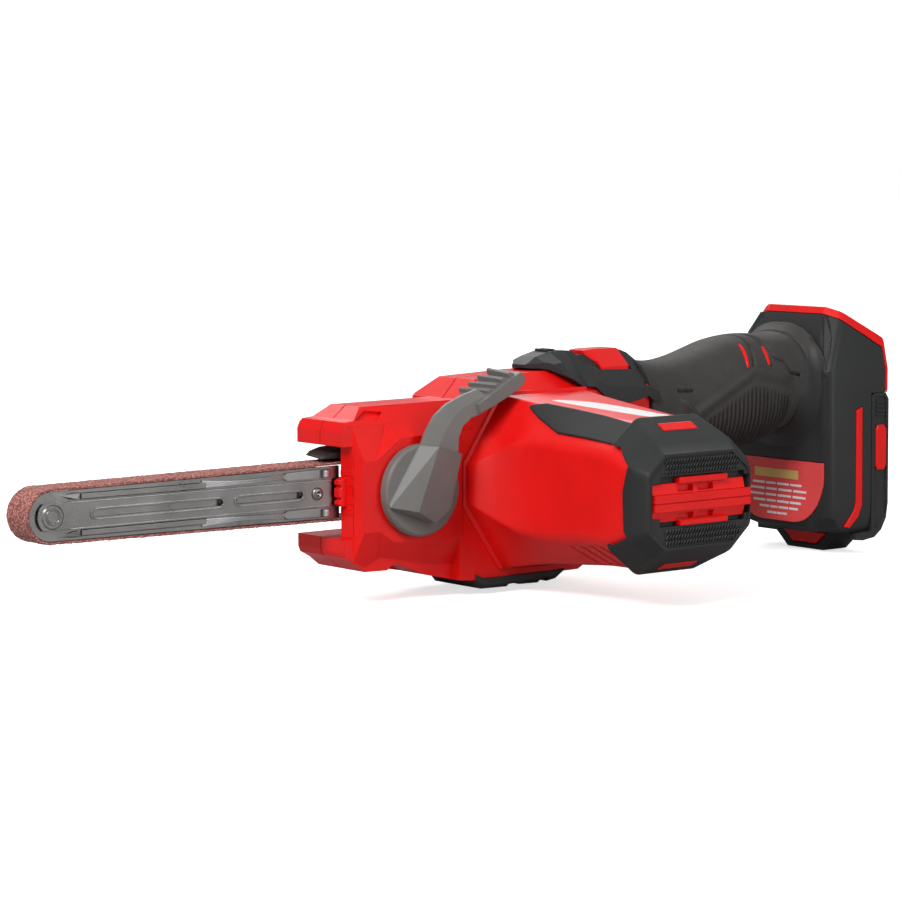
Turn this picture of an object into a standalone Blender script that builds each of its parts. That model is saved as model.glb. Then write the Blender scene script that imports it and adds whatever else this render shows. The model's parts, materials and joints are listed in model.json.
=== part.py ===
"""Handheld narrow-belt sander.

Frame: metres, +Z up, +X towards the battery foot, the motor barrel points to -Y.
Origin: on the flat back of the battery pack, in the middle of its width and level with the motor axis.
All sizes below are millimetres measured from the drive wheel's centre, which is on the motor axis;
build() turns them into metres from the origin.
"""
import math

import bmesh
import bpy
from mathutils import Vector

MM = 0.001
GAP = 0.3

# belt run
BELT_HALF_WIDTH = 6.5
BELT_THICKNESS = 1.0
CENTRE_DISTANCE = 197.0
WHEEL_RADIUS = 9.6
ROLLER_RADIUS = 7.8
TIP_X = -CENTRE_DISTANCE

# head
JAW_HALF_WIDTH = 13.3
HEAD_HALF_WIDTH = 17.0
BOSS_FACE = 17.4
WALL = 2.2
SEAM_HALF = 0.15
JAW_OPENING = 15.6
HEAD_REAR = 45.0

# tension lever
LEVER_X = -60.2
LEVER_DISC_RADIUS = 15.7
LEVER_SHAFT_RADIUS = 5.0
CRANK_RADIUS = 3.3
CRANK_PIN_RADIUS = 1.5
CRANK_REST_DEG = 200.0

# motor and barrel, measured outwards from the belt's middle
BARREL_START = 17.4
BARREL_END = 83.0
COLLAR_START = 76.5
CAP_FACE = 95.0
SHAFT_RADIUS = 3.0
BEARING_RADIUS = 8.0
STATOR_RADIUS = 20.5
ROTOR_RADIUS = 12.5

# handle and foot
HANDLE_START = 46.0
GRIP_END = 95.0
OVERMOULD = 2.0
FOOT_FRONT = 125.0
FOOT_REAR = 157.2
FOOT_HALF_WIDTH = 26.5
FOOT_BOTTOM = -30.5
FOOT_TOP = 54.5
PACK_FRONT = 139.6
PACK_STEP = 148.3
PACK_TOP = 21.8
PACK_BOTTOM = -33.0
ORIGIN = Vector((FOOT_REAR, 0.0, 0.0))

RED = ("red plastic", (0.80, 0.012, 0.008), 0.35, 0.0)
BLACK = ("black plastic", (0.035, 0.036, 0.037), 0.5, 0.0)
SOFT = ("soft grip", (0.06, 0.055, 0.05), 0.75, 0.0)
GREY = ("grey lever plastic", (0.18, 0.175, 0.17), 0.45, 0.0)
STEEL = ("stamped steel", (0.35, 0.35, 0.34), 0.3, 1.0)
BRIGHT = ("bright steel", (0.65, 0.65, 0.66), 0.2, 1.0)
GRIT = ("belt grit", (0.45, 0.16, 0.13), 0.9, 0.0)
COPPER = ("copper winding", (0.6, 0.25, 0.1), 0.4, 1.0)
BOARD = ("circuit board", (0.02, 0.15, 0.05), 0.5, 0.0)
FOIL = ("cell foil", (0.5, 0.5, 0.52), 0.35, 1.0)


# ---------------------------------------------------------------- helpers
def clear_scene():
    for item in list(bpy.data.objects):
        bpy.data.objects.remove(item, do_unlink=True)


def material(finish):
    name, colour, roughness, metallic = finish
    found = bpy.data.materials.get(name)
    if found:
        return found
    made = bpy.data.materials.new(name)
    made.use_nodes = True
    shader = made.node_tree.nodes["Principled BSDF"]
    shader.inputs["Base Color"].default_value = (*colour, 1.0)
    shader.inputs["Roughness"].default_value = roughness
    shader.inputs["Metallic"].default_value = metallic
    return made


def build(name, shape, finish=None, pivot=(0.0, 0.0, 0.0), smooth=None):
    """Turn a bmesh in millimetres into an object whose origin is its pivot."""
    quads = [face for face in shape.faces if len(face.verts) == 4]
    bmesh.ops.connect_verts_nonplanar(shape, angle_limit=math.radians(0.05), faces=quads)
    bmesh.ops.recalc_face_normals(shape, faces=shape.faces)
    centre = Vector(pivot)
    for vert in shape.verts:
        vert.co = (vert.co - centre) * MM
    mesh = bpy.data.meshes.new(name)
    shape.to_mesh(mesh)
    shape.free()
    if smooth:
        mesh.shade_smooth()
        mesh.set_sharp_from_angle(angle=math.radians(smooth))
    made = bpy.data.objects.new(name, mesh)
    made.location = (centre - ORIGIN) * MM
    bpy.context.scene.collection.objects.link(made)
    if finish:
        mesh.materials.append(material(finish))
    return made


def tool(name, shape):
    """A cutter or a joined block: it shapes another object and isn't a part itself."""
    made = build(name, shape)
    made.hide_render = True
    made.display_type = "WIRE"
    return made


def combine(target, other, operation):
    step = target.modifiers.new(operation.lower(), "BOOLEAN")
    step.operation = operation
    step.solver = "EXACT"
    step.object = other
    return target


def cut(target, *shapes):
    for number, shape in enumerate(shapes):
        combine(target, tool(f"{target.name}_cutter_{len(target.modifiers)}_{number}", shape), "DIFFERENCE")
    return target


def join(target, *shapes):
    for number, shape in enumerate(shapes):
        combine(target, tool(f"{target.name}_block_{len(target.modifiers)}_{number}", shape), "UNION")
    return target


def loft(rings):
    """Closed solid through rings that have the same number of points."""
    shape = bmesh.new()
    loops = [[shape.verts.new(point) for point in ring] for ring in rings]
    count = len(loops[0])
    for low, high in zip(loops, loops[1:]):
        for i in range(count):
            j = (i + 1) % count
            shape.faces.new((low[i], low[j], high[j], high[i]))
    shape.faces.new(loops[0][::-1])
    shape.faces.new(loops[-1])
    return shape


def prism_y(outline, low, high):
    """Extrude an (x, z) outline along Y."""
    return loft([[(x, y, z) for x, z in outline] for y in (low, high)])


def prism_x(outline, low, high):
    """Extrude a (y, z) outline along X."""
    return loft([[(x, y, z) for y, z in outline] for x in (low, high)])


def prism_z(outline, low, high):
    """Extrude an (x, y) outline along Z."""
    return loft([[(x, y, z) for x, y in outline] for z in (low, high)])


def block(x_range, y_range, z_range):
    (x0, x1), (y0, y1), (z0, z1) = x_range, y_range, z_range
    return prism_z([(x0, y0), (x1, y0), (x1, y1), (x0, y1)], z0, z1)


def circle(radius, count, centre=(0.0, 0.0), start=0.0):
    cx, cz = centre
    turn = math.tau / count
    angles = [start + turn * i for i in range(count)]
    return [(cx + radius * math.cos(a), cz + radius * math.sin(a)) for a in angles]


def turned(profile, centre=(0.0, 0.0), count=32):
    """Solid of revolution round an axis parallel to Y; profile holds (y, radius) points.

    An open profile starts and ends on the axis; a closed one leaves a bore.
    """
    shape = bmesh.new()
    closed = profile[0][1] > 0
    cx, cz = centre
    rings = []
    for y, radius in profile:
        if radius == 0:
            rings.append([shape.verts.new((cx, y, cz))])
        else:
            rings.append([shape.verts.new((x, y, z)) for x, z in circle(radius, count, centre)])
    pairs = list(zip(rings, rings[1:]))
    if closed:
        pairs.append((rings[-1], rings[0]))
    for low, high in pairs:
        for i in range(count):
            j = (i + 1) % count
            if len(low) == 1:
                shape.faces.new((low[0], high[j], high[i]))
            elif len(high) == 1:
                shape.faces.new((low[i], low[j], high[0]))
            else:
                shape.faces.new((low[i], low[j], high[j], high[i]))
    return shape


def pin(low, high, radius, centre=(0.0, 0.0), count=24):
    return turned([(low, 0), (low, radius), (high, radius), (high, 0)], centre, count)


def ring(low, high, inner, outer, centre=(0.0, 0.0), count=32):
    return turned([(low, inner), (low, outer), (high, outer), (high, inner)], centre, count)


def octagon(left, right, top, bottom, chamfer_x, chamfer_z):
    """Eight-sided outline in (x, z) round the motor axis, from its lower left corner anticlockwise."""
    return [
        (chamfer_x - left, -bottom), (right - chamfer_x, -bottom),
        (right, chamfer_z - bottom), (right, top - chamfer_z),
        (right - chamfer_x, top), (chamfer_x - left, top),
        (-left, top - chamfer_z), (-left, chamfer_z - bottom),
    ]


# ---------------------------------------------------------------- belt and arm
def loop_outline(tip_radius, wheel_radius, count=14):
    """Belt path round tip and wheel, with straight runs tangent to both."""
    lean = math.asin((wheel_radius - tip_radius) / CENTRE_DISTANCE)
    points = []
    for centre_x, radius, start, end in (
        (0.0, wheel_radius, -math.pi / 2 - lean, math.pi / 2 + lean),
        (TIP_X, tip_radius, math.pi / 2 + lean, 3 * math.pi / 2 - lean),
    ):
        for i in range(count + 1):
            angle = start + (end - start) * i / count
            points.append((centre_x + radius * math.cos(angle), radius * math.sin(angle)))
    return points


def loop_half_height(x, clearance):
    """Half-height inside the belt loop at x, less a clearance."""
    tip = ROLLER_RADIUS + GAP
    wheel = WHEEL_RADIUS + GAP
    return tip + (wheel - tip) * (x - TIP_X) / CENTRE_DISTANCE - clearance


def make_belt():
    inner = loop_outline(ROLLER_RADIUS + GAP, WHEEL_RADIUS + GAP)
    outer = loop_outline(ROLLER_RADIUS + GAP + BELT_THICKNESS, WHEEL_RADIUS + GAP + BELT_THICKNESS)
    shape = bmesh.new()
    rings = []
    for outline, y in ((inner, -1), (outer, -1), (outer, 1), (inner, 1)):
        rings.append([shape.verts.new((x, y * BELT_HALF_WIDTH, z)) for x, z in outline])
    count = len(inner)
    for k in range(4):
        low, high = rings[k], rings[(k + 1) % 4]
        for i in range(count):
            j = (i + 1) % count
            shape.faces.new((low[i], low[j], high[j], high[i]))
    build("sanding_belt", shape, GRIT, smooth=40)


def tongue_outline(half_height, tip_radius, rear_x, count=12):
    """Flat bar with a round tip about the roller axis."""
    points = []
    start = math.asin(min(1.0, half_height / tip_radius))
    for i in range(count + 1):
        angle = math.pi - start + 2 * start * i / count
        points.append((TIP_X + tip_radius * math.cos(angle), tip_radius * math.sin(angle)))
    return points + [(rear_x, -half_height), (rear_x, half_height)]


def web_outline(rear_x, clearance=0.6, count=16):
    tip_radius = ROLLER_RADIUS - clearance
    rear = loop_half_height(rear_x, clearance)
    points = []
    for i in range(count + 1):
        angle = math.pi / 2 + math.pi * i / count
        points.append((TIP_X + tip_radius * math.cos(angle), tip_radius * math.sin(angle)))
    return points + [(rear_x, -rear), (rear_x, rear)]


def make_arm():
    web_back = -5.1
    rear = -92.5
    flange_start = TIP_X + 12.0
    arm = build("arm_channel", prism_y(web_outline(rear), -6.1, web_back), STEEL)
    for side in (-1, 1):
        low = loop_half_height(flange_start, 0.6)
        high = loop_half_height(rear, 0.6)
        flange = [(flange_start, side * low), (rear, side * high),
                  (rear, side * (high - 0.9)), (flange_start, side * (low - 0.9))]
        join(arm, prism_y(flange, web_back - 0.5, 5.4))
    cut(arm, pin(-9, 9, 1.9, (TIP_X, 0)), pin(-9, 9, 1.5, (-94.4, 0), 16))

    plate = build("arm_centre_plate", prism_y(tongue_outline(4.5, 5.6, -87.4), -7.1, -6.4), STEEL)
    for start, end in ((-182.0, -131.0), (-127.0, -100.0)):
        slot = [(start, 0.0), (start + 0.9, -0.9), (end - 0.9, -0.9),
                (end, 0.0), (end - 0.9, 0.9), (start + 0.9, 0.9)]
        cut(plate, prism_y(slot, -9, -5))
    cut(plate, pin(-9, 9, 1.9, (TIP_X, 0)), pin(-9, 9, 1.5, (-94.4, 0), 16))

    far = build("arm_far_plate", prism_y(tongue_outline(4.5, 5.6, -160.0), 5.7, 6.5), STEEL)
    cut(far, pin(-9, 9, 1.9, (TIP_X, 0)))

    axle = [(-7.6, 0), (-7.6, 2.4), (-7.3, 2.4), (-7.3, 1.6), (6.8, 1.6), (6.8, 2.6), (7.4, 2.6), (7.4, 0)]
    build("tip_axle", turned(axle, (TIP_X, 0)), BRIGHT, smooth=40)
    rivet = [(-8.2, 0), (-8.0, 1.4), (-7.4, 2.2), (-7.4, 1.2),
             (-0.6, 1.2), (-0.6, 2.0), (-0.1, 2.0), (-0.1, 0)]
    build("arm_rear_rivet", turned(rivet, (-94.4, 0), 20), BRIGHT, smooth=40)

    for side, name in ((1, "leaf_strip_upper"), (-1, "leaf_strip_lower")):
        strip = [(-141, side * 5.0), (-136, side * 6.8), (-93.0, side * 7.4),
                 (-93.0, side * 5.2), (-130, side * 5.0)]
        build(name, prism_y(strip, -6.9, -6.4), BRIGHT)
    for side, name in ((1, "strut_pin_upper"), (-1, "strut_pin_lower")):
        head = [(-8.6, 0), (-8.6, 1.0), (-8.2, 1.4), (-7.2, 1.4), (-7.2, 0.9), (4.0, 0.9), (4.0, 0)]
        build(name, turned(head, (-90.7, side * 6.6), 20), BRIGHT, smooth=40)

    bar = build("arm_slide_bar", block((-100.0, -24.0), (-4.8, -0.9), (-4.3, 4.3)), STEEL)
    cut(bar, block((LEVER_X - 6.0, LEVER_X + 2.5), (-6, 1), (-5.5, 2.0)))
    cut(bar, block((-49.0, -28.0), (-6, 1), (-3.0, 3.0)))
    cut(bar, pin(-9, 9, 1.5, (-94.4, 0), 16))

    hub = [(-4.8, 1.95), (-4.8, ROLLER_RADIUS - 0.5), (-4.0, ROLLER_RADIUS), (4.6, ROLLER_RADIUS),
           (5.4, ROLLER_RADIUS - 0.5), (5.4, 1.95)]
    build("tip_roller", turned(hub, (TIP_X, 0), 36), BLACK, (TIP_X, 0, 0), smooth=40)


def make_spring():
    """Compression spring in the slide bar's window, coiled along X."""
    turns, steps, sides = 6, 12, 6
    coil, wire = 2.1, 0.35
    start_x, end_x = -48.3, -35.5
    shape = bmesh.new()
    rings = []
    for i in range(turns * steps + 1):
        share = i / (turns * steps)
        angle = math.tau * turns * share
        x = start_x + (end_x - start_x) * share
        out = Vector((0, math.cos(angle), math.sin(angle)))
        middle = Vector((x, -2.85, 0)) + out * coil
        ring_points = []
        for k in range(sides):
            a = math.tau * k / sides
            across = out * wire * math.cos(a) + Vector((wire * math.sin(a), 0, 0))
            ring_points.append(shape.verts.new(middle + across))
        rings.append(ring_points)
    for low, high in zip(rings, rings[1:]):
        for k in range(sides):
            j = (k + 1) % sides
            shape.faces.new((low[k], low[j], high[j], high[k]))
    shape.faces.new(rings[0])
    shape.faces.new(rings[-1])
    build("tension_spring", shape, BRIGHT, smooth=60)


# ---------------------------------------------------------------- head
HEAD_TOP = [(-88.0, 20.5), (-86.5, 23.8), (-82.5, 24.2), (-77.5, 28.3), (-36.0, 28.6),
            (-29.3, 35.3), (-1.5, 36.6), (20.0, 36.6), (40.0, 36.0), (HEAD_REAR, 34.0)]
HEAD_BOTTOM = [(HEAD_REAR, 3.0), (29.0, -24.0), (11.5, -33.6), (-30.0, -34.0), (-42.0, -33.0),
               (-54.0, -30.6), (-64.0, -28.7), (-79.0, -28.3), (-84.5, -23.7), (-88.0, -20.5)]
CAVITY = [(-95.0, JAW_OPENING), (-62.0, JAW_OPENING), (-58.0, 26.0), (-35.0, 26.2), (-28.3, 32.6),
          (0.0, 33.6), (38.0, 33.4), (42.6, 31.6), (42.6, 4.0), (27.5, -22.0), (10.5, -31.2),
          (-30.0, -31.6), (-41.0, -30.6), (-53.0, -28.2), (-60.0, -26.0), (-62.0, -JAW_OPENING),
          (-95.0, -JAW_OPENING)]


def side_ranges(side, inner, outer):
    """Order a pair of distances from the seam into a y range on one side."""
    return tuple(sorted((side * inner, side * outer)))


def roof_wedge(side):
    """Corner that the sloped shoulders take off the upper deck."""
    edge = [(8.0, 37.0), (30.0, 18.3), (30.0, 60.0), (8.0, 60.0)]
    return prism_x([(side * y, z) for y, z in edge], -42.0, 60.0)


def make_head_shell(name, side):
    seam = SEAM_HALF
    shell = build(name, prism_y(HEAD_TOP + HEAD_BOTTOM, *side_ranges(side, seam, HEAD_HALF_WIDTH)), RED)
    cut(shell, prism_y(CAVITY, *side_ranges(side, -1.0, JAW_HALF_WIDTH - WALL)))
    cut(shell, roof_wedge(side))
    cut(shell, block((-100.0, -41.5), side_ranges(side, JAW_HALF_WIDTH, 30.0), (-60.0, 60.0)))
    if side < 0:
        base = [(-84.0, -19.0), (-76.0, -25.0), (-46.0, -27.0), (-40.5, -22.0),
                (-40.5, 20.0), (-46.0, 26.0), (-76.0, 25.0), (-84.0, 19.0)]
        face = [(-80.5, -12.5), (-74.0, -20.0), (-47.0, -21.0), (-41.0, -17.0),
                (-41.0, 15.0), (-47.0, 19.0), (-72.0, 18.0), (-80.5, 12.5)]
        join(shell, loft([[(x, -JAW_HALF_WIDTH + 1.0, z) for x, z in base],
                          [(x, -BOSS_FACE, z) for x, z in face]]))
    open_rear = [(-40.0, 26.0), (-35.0, 26.2), (-28.3, 29.5), (0.0, 30.0), (42.6, 30.0), (42.6, 4.0),
                 (27.5, -22.0), (10.5, -31.2), (-30.0, -31.6), (-40.0, -30.6)]
    rear_depth = 14.8 if side < 0 else 12.8
    cut(shell, prism_y(open_rear, *side_ranges(side, JAW_HALF_WIDTH - WALL - 1.0, rear_depth)))
    if side < 0:
        cut(shell, block((-95.0, -84.0), (-30.0, 1.0), (-JAW_OPENING, JAW_OPENING)))
        cut(shell, pin(-30, -5, 24.0, (0, 0), 40))
        cut(shell, pin(-30, -5, LEVER_SHAFT_RADIUS + GAP, (LEVER_X, 0)))
    else:
        cut(shell, block((-95.0, -62.0), (-1.0, 30.0), (-JAW_OPENING, JAW_OPENING)))
        for x, z in HEAD_SCREWS:
            cut(shell, pin(-5, 30, 1.8, (x, z), 16))
            cut(shell, pin(9.0 + (4.0 if x > -42 else 0.0), 30, 3.4, (x, z), 20))
    return shell


HEAD_SCREWS = [(-70.0, 21.5), (-70.0, -22.0), (-20.0, -26.0), (30.0, 20.0)]


def make_screw(name, centre, head_y, length, head_radius=2.9):
    """Pan-head screw along Y: head outwards at head_y, shank towards the other half."""
    out = 1 if head_y > 0 else -1
    profile = [(head_y, 0), (head_y, head_radius), (head_y - out * 1.6, head_radius),
               (head_y - out * 1.6, 1.5), (head_y - out * length, 1.5), (head_y - out * length, 0)]
    screw = build(name, turned(profile, centre, 20), STEEL, smooth=40)
    x, z = centre
    hexagon = circle(1.2, 6, (x, z))
    cut(screw, prism_y(hexagon, *sorted((head_y + out, head_y - out * 0.9))))


def make_head():
    make_head_shell("head_shell_near", -1)
    make_head_shell("head_shell_far", 1)
    for number, (x, z) in enumerate(HEAD_SCREWS, 1):
        make_screw(f"head_screw_{number}", (x, z), 11.2 if x < -42 else 15.2, 9.0)

    deflector = [(-87.0, 11.9), (-81.0, 13.4), (-64.0, 14.4), (-64.0, 13.2), (-81.0, 12.1)]
    build("belt_deflector", prism_y(deflector, -5.0, 9.0), BLACK)

    build("arm_guide", block((-87.8, -68.0), (-10.6, -7.5), (-4.8, 4.8)), RED)

    bumper_line = [(-51.0, -27.0), (-41.0, -32.0), (4.0, -30.6), (6.4, -32.6), (0.6, -36.2), (-7.6, -37.0),
                   (-14.6, -35.8), (-17.4, -36.6), (-33.6, -36.5), (-48.2, -33.8), (-55.0, -31.2)]
    bumper = build("bottom_bumper", prism_y(bumper_line, -18.4, 18.4), BLACK)
    grown = [(x, z - GAP) for x, z in HEAD_BOTTOM]
    above = grown + [(-88.0, 40.0), (HEAD_REAR + 1, 40.0)]
    cut(bumper, prism_y(above, -HEAD_HALF_WIDTH - GAP, HEAD_HALF_WIDTH + GAP))


# ---------------------------------------------------------------- tension lever
LEVER_STEM = [(-32.9, 40.3), (-20.4, 38.9), (-18.4, 36.2), (-23.1, 32.1), (-31.5, 26.4), (-41.1, 25.2),
              (-45.0, 19.3), (-46.8, 13.3), (-46.8, 7.8), (-50.3, -2.2), (-52.1, -8.2), (-58.0, -10.9),
              (-72.0, -5.0), (-75.2, -3.0), (-60.4, 17.2), (-56.6, 22.4), (-51.9, 26.9), (-37.2, 37.8)]


def make_lever():
    pivot = (LEVER_X, 0, 0)
    rim = [(-21.6, 0), (-21.6, 14.4), (-20.6, LEVER_DISC_RADIUS), (-17.8, LEVER_DISC_RADIUS), (-17.8, 0)]
    lever = build("tension_lever", turned(rim, (LEVER_X, 0), 40), GREY, pivot)
    join(lever, prism_y(LEVER_STEM, -27.0, -21.0))

    stepped = [(-17.5, 0), (-17.5, LEVER_SHAFT_RADIUS), (-8.9, LEVER_SHAFT_RADIUS),
               (-8.9, 6.3), (-5.6, 6.3), (-5.6, 0)]
    shaft = build("lever_shaft", turned(stepped, (LEVER_X, 0)), STEEL, pivot, smooth=40)
    angle = math.radians(CRANK_REST_DEG)
    crank = (LEVER_X + CRANK_RADIUS * math.cos(angle), CRANK_RADIUS * math.sin(angle))
    join(shaft, pin(-6.0, -0.6, CRANK_PIN_RADIUS, crank, 16))


# ---------------------------------------------------------------- motor
def barrel_ring(section, inset=0.0, y=None):
    distance, left, right, top, bottom, chamfer_x, chamfer_z = section
    outline = octagon(left - inset, right - inset, top - inset, bottom - inset, chamfer_x, chamfer_z)
    return [(x, -(distance if y is None else y), z) for x, z in outline]


# distance from the belt's middle, reach to -X, reach to +X, top, bottom, corner chamfers
BARREL = [(BARREL_START, 39.4, 30.0, 30.0, 30.0, 16.0, 23.5), (20.0, 39.0, 29.6, 29.8, 29.8, 16.0, 23.0),
          (27.0, 34.0, 28.0, 28.6, 28.6, 13.5, 17.0), (36.0, 30.0, 27.0, 27.4, 27.6, 12.0, 12.0),
          (48.0, 27.4, 26.4, 26.2, 26.8, 11.5, 10.5), (62.0, 26.0, 26.0, 24.8, 25.8, 11.5, 10.0),
          (COLLAR_START, 25.5, 25.5, 23.4, 25.2, 12.0, 9.8), (BARREL_END, 25.3, 25.3, 19.8, 22.2, 11.0, 8.6)]
CAP = [(COLLAR_START, 26.0, 26.0, 25.4, 27.2, 12.5, 10.0), (88.8, 26.0, 26.0, 18.4, 20.8, 9.0, 8.0),
       (CAP_FACE, 20.0, 20.0, 14.2, 17.2, 5.0, 6.0)]


def make_barrel():
    barrel = build("motor_barrel", loft([barrel_ring(section) for section in BARREL]), RED)
    hollow = [barrel_ring(section, 2.4) for section in BARREL]
    hollow[0] = barrel_ring(BARREL[0], 2.4, BARREL_START - 1.0)
    hollow[-1] = barrel_ring(BARREL[-1], 2.4, BARREL_END + 1.0)
    cut(barrel, loft(hollow))

    cap = build("end_cap", loft([barrel_ring(section) for section in CAP]), BLACK)
    seat = [barrel_ring(BARREL[-2], -GAP, COLLAR_START - 1.0), barrel_ring(BARREL[-2], -GAP),
            barrel_ring(BARREL[-1], -GAP), barrel_ring(BARREL[-1], -GAP, BARREL_END + GAP)]
    cut(cap, loft(seat))
    for side in (-1, 1):
        notch = [(side * 20.0, -14.0), (side * 20.0, 10.0), (side * 40.0, 10.0), (side * 40.0, -14.0)]
        cut(cap, prism_y(notch, -BARREL_END - 0.4, -COLLAR_START + 1.0))
    hollow = [(BARREL_END - 1.0, 22.5, 22.5, 19.5, 21.5, 11.0, 8.0), (88.0, 22.5, 22.5, 15.5, 18.0, 8.0, 7.0),
              (CAP_FACE - 2.2, 19.0, 19.0, 11.5, 14.5, 5.0, 6.0)]
    cut(cap, loft([barrel_ring(section) for section in hollow]))
    cut(cap, block((-20.8, 21.0), (-CAP_FACE - 1, -CAP_FACE + 4), (-9.8, 7.6)))
    cut(cap, bevel_slot(1, 0.2), bevel_slot(-1, 0.2))

    grille = build("vent_grille", block((-20.5, 20.7), (-CAP_FACE - 0.8, -CAP_FACE + 2.0), (-9.4, 7.2)), RED)
    for z in (3.6, -5.8):
        cut(grille, *[block((x, x + 8.0), (-100, -90), (z - 1.0, z + 1.0)) for x in (-10.5, 2.7)])
    build("cap_inlay_top", bevel_slot(1, 0.0), RED)
    build("cap_inlay_bottom", bevel_slot(-1, 0.0), RED)

    for side, name in ((-1, "barrel_strap_front"), (1, "barrel_strap_rear")):
        shares = (0.2, 0.5, 0.75, 0.78)
        build(name, loft([strap_ring(*pair, side) for pair in zip(BARREL[3:7], shares)]), BLACK)


def bevel_slot(side, grow):
    """Inlay let into the cap's upper or lower bevel."""
    top, fall = (25.4, 7.0) if side > 0 else (27.2, 6.4)
    run = 88.8 - COLLAR_START
    reach = 7.5 + grow
    outer = 1.5 if grow else 0.25
    inner = -0.9 - grow
    rings = []
    for x in (-reach, reach):
        points = []
        near, far = 81.0 - grow, 84.2 + grow
        for distance, lift in ((near, outer), (far, outer), (far, inner), (near, inner)):
            z = top - fall * (distance - COLLAR_START) / run + lift
            points.append((x, -distance, side * z))
        rings.append(points)
    return loft(rings)


def strap_ring(section, share, side):
    """Strap's section on the barrel's upper chamfer, a hair clear of the barrel."""
    distance, left, right, top, _, chamfer_x, chamfer_z = section
    reach = left if side < 0 else right
    distance = min(distance, COLLAR_START - GAP)
    normal = Vector((side * chamfer_z, chamfer_x)).normalized()
    upper = Vector((side * (reach - chamfer_x), top)) + normal * GAP
    lower = upper + Vector((side * chamfer_x, -chamfer_z)) * share
    points = [upper, lower, lower + normal * 1.3, upper + normal * 1.3]
    return [(point.x, -distance, point.y) for point in points]


def make_motor():
    plate = ring(-21.2, -18.2, BEARING_RADIUS + GAP, 23.6, count=40)
    bracket = build("bearing_bracket", plate, STEEL, smooth=40)
    for angle in range(45, 360, 90):
        x = 17.0 * math.cos(math.radians(angle))
        z = 17.0 * math.sin(math.radians(angle))
        cut(bracket, pin(-25, -15, 3.0, (x, z), 16))
    build("front_bearing", ring(-21.6, -15.6, SHAFT_RADIUS + GAP, BEARING_RADIUS), BRIGHT, smooth=40)
    build("rear_bearing", ring(-80.8, -75.8, SHAFT_RADIUS + GAP, BEARING_RADIUS), BRIGHT, smooth=40)
    holder = ring(-80.0, -76.6, BEARING_RADIUS + GAP, 18.6, count=40)
    build("rear_bearing_plate", holder, STEEL, smooth=40)
    build("stator", ring(-70.0, -33.0, ROTOR_RADIUS + 0.5, STATOR_RADIUS, count=40), COPPER, smooth=40)

    build("rotor", ring(-69.0, -34.0, SHAFT_RADIUS + GAP, ROTOR_RADIUS), STEEL, smooth=40)
    shaft = [(-83.0, 0), (-83.0, SHAFT_RADIUS), (9.0, SHAFT_RADIUS), (9.0, 0)]
    build("rotor_shaft", turned(shaft), BRIGHT, smooth=40)
    rim = [(-6.6, SHAFT_RADIUS + GAP), (-6.6, WHEEL_RADIUS - 0.3), (-3.0, WHEEL_RADIUS), (3.0, WHEEL_RADIUS),
           (6.6, WHEEL_RADIUS - 0.3), (6.6, SHAFT_RADIUS + GAP)]
    build("drive_wheel", turned(rim, count=36), STEEL, smooth=40)
    make_fan()


def make_fan():
    """Hub, back plate and swept blades."""
    bore = SHAFT_RADIUS + GAP
    hub = [(-30.6, bore), (-30.6, 17.0), (-29.4, 17.0), (-29.4, 6.0), (-24.4, 6.0), (-24.4, bore)]
    fan = build("cooling_fan", turned(hub, count=36), BLACK)
    blades = 9
    for i in range(blades):
        turn = math.tau * i / blades
        lean = turn + 0.35
        inner = Vector((5.6 * math.cos(turn), 5.6 * math.sin(turn)))
        outer = Vector((16.8 * math.cos(lean), 16.8 * math.sin(lean)))
        side = (outer - inner).orthogonal().normalized() * 0.5
        corners = [inner - side, outer - side, outer + side, inner + side]
        join(fan, prism_y([tuple(p) for p in corners], -30.0, -24.6))


# ---------------------------------------------------------------- top cover and switch
COVER_TOP = 42.3
BUTTON_TRAVEL = 5.0
BUTTON_FRONT = 28.0
BUTTON_REAR = 41.2


def arch(rise, spread=0.0):
    """Right-hand half of the cover's section as (y, z), from the crown down."""
    return [(4.0, COVER_TOP + rise), (12.5 + spread, 36.7 + rise * 0.8), (17.8 + spread, 31.0 + rise * 0.3),
            (19.0 + spread, 24.0), (19.0 + spread, 12.0)]


def arch_ring(x, rise=0.0, spread=0.0):
    half = arch(rise, spread)
    return [(x, y, z) for y, z in half] + [(x, -y, z) for y, z in half[::-1]]


def make_cover():
    rings = [arch_ring(1.0, -4.8, -1.0), arch_ring(5.0, -1.2), arch_ring(11.0),
             arch_ring(43.0), arch_ring(47.3, -1.4)]
    cover = build("top_cover", loft(rings), BLACK)
    below = [(-10.0, 37.2), (-1.4, 36.9), (8.0, 33.6), (12.0, 30.8), (17.0, 31.0), (24.0, 25.0),
             (27.0, 24.0), (40.0, 26.2), (46.5, 18.0), (60.0, 18.0), (60.0, 0.0), (-10.0, 0.0)]
    cut(cover, prism_y(below, -40, 40))
    inside = [(8.2, 37.0 + GAP), (17.3, 29.4 + GAP), (17.3, 0.0)]
    ring_points = inside + [(-y, z) for y, z in inside[::-1]]
    cut(cover, prism_x(ring_points, -10.0, HEAD_REAR + GAP))
    cut(cover, block((HEAD_REAR - 1.0, 60.0), (-16.5, 16.5), (0.0, 38.5)))
    window_ends = (BUTTON_FRONT - BUTTON_TRAVEL - 0.4, BUTTON_REAR + 0.4)
    cut(cover, loft([button_ring(x, -1.3, 10.2, 60.0) for x in window_ends]))
    cap = loft([button_ring(x, -1.0, 9.8, 0.7) for x in (BUTTON_FRONT, BUTTON_REAR)])
    button = build("switch_button", cap, RED)
    grips = [prism_y([(x, 43.6), (x + 1.2, 42.5), (x + 2.4, 43.6)], -5, 5) for x in (30.0, 33.5, 37.0)]
    cut(button, *grips)


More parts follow.
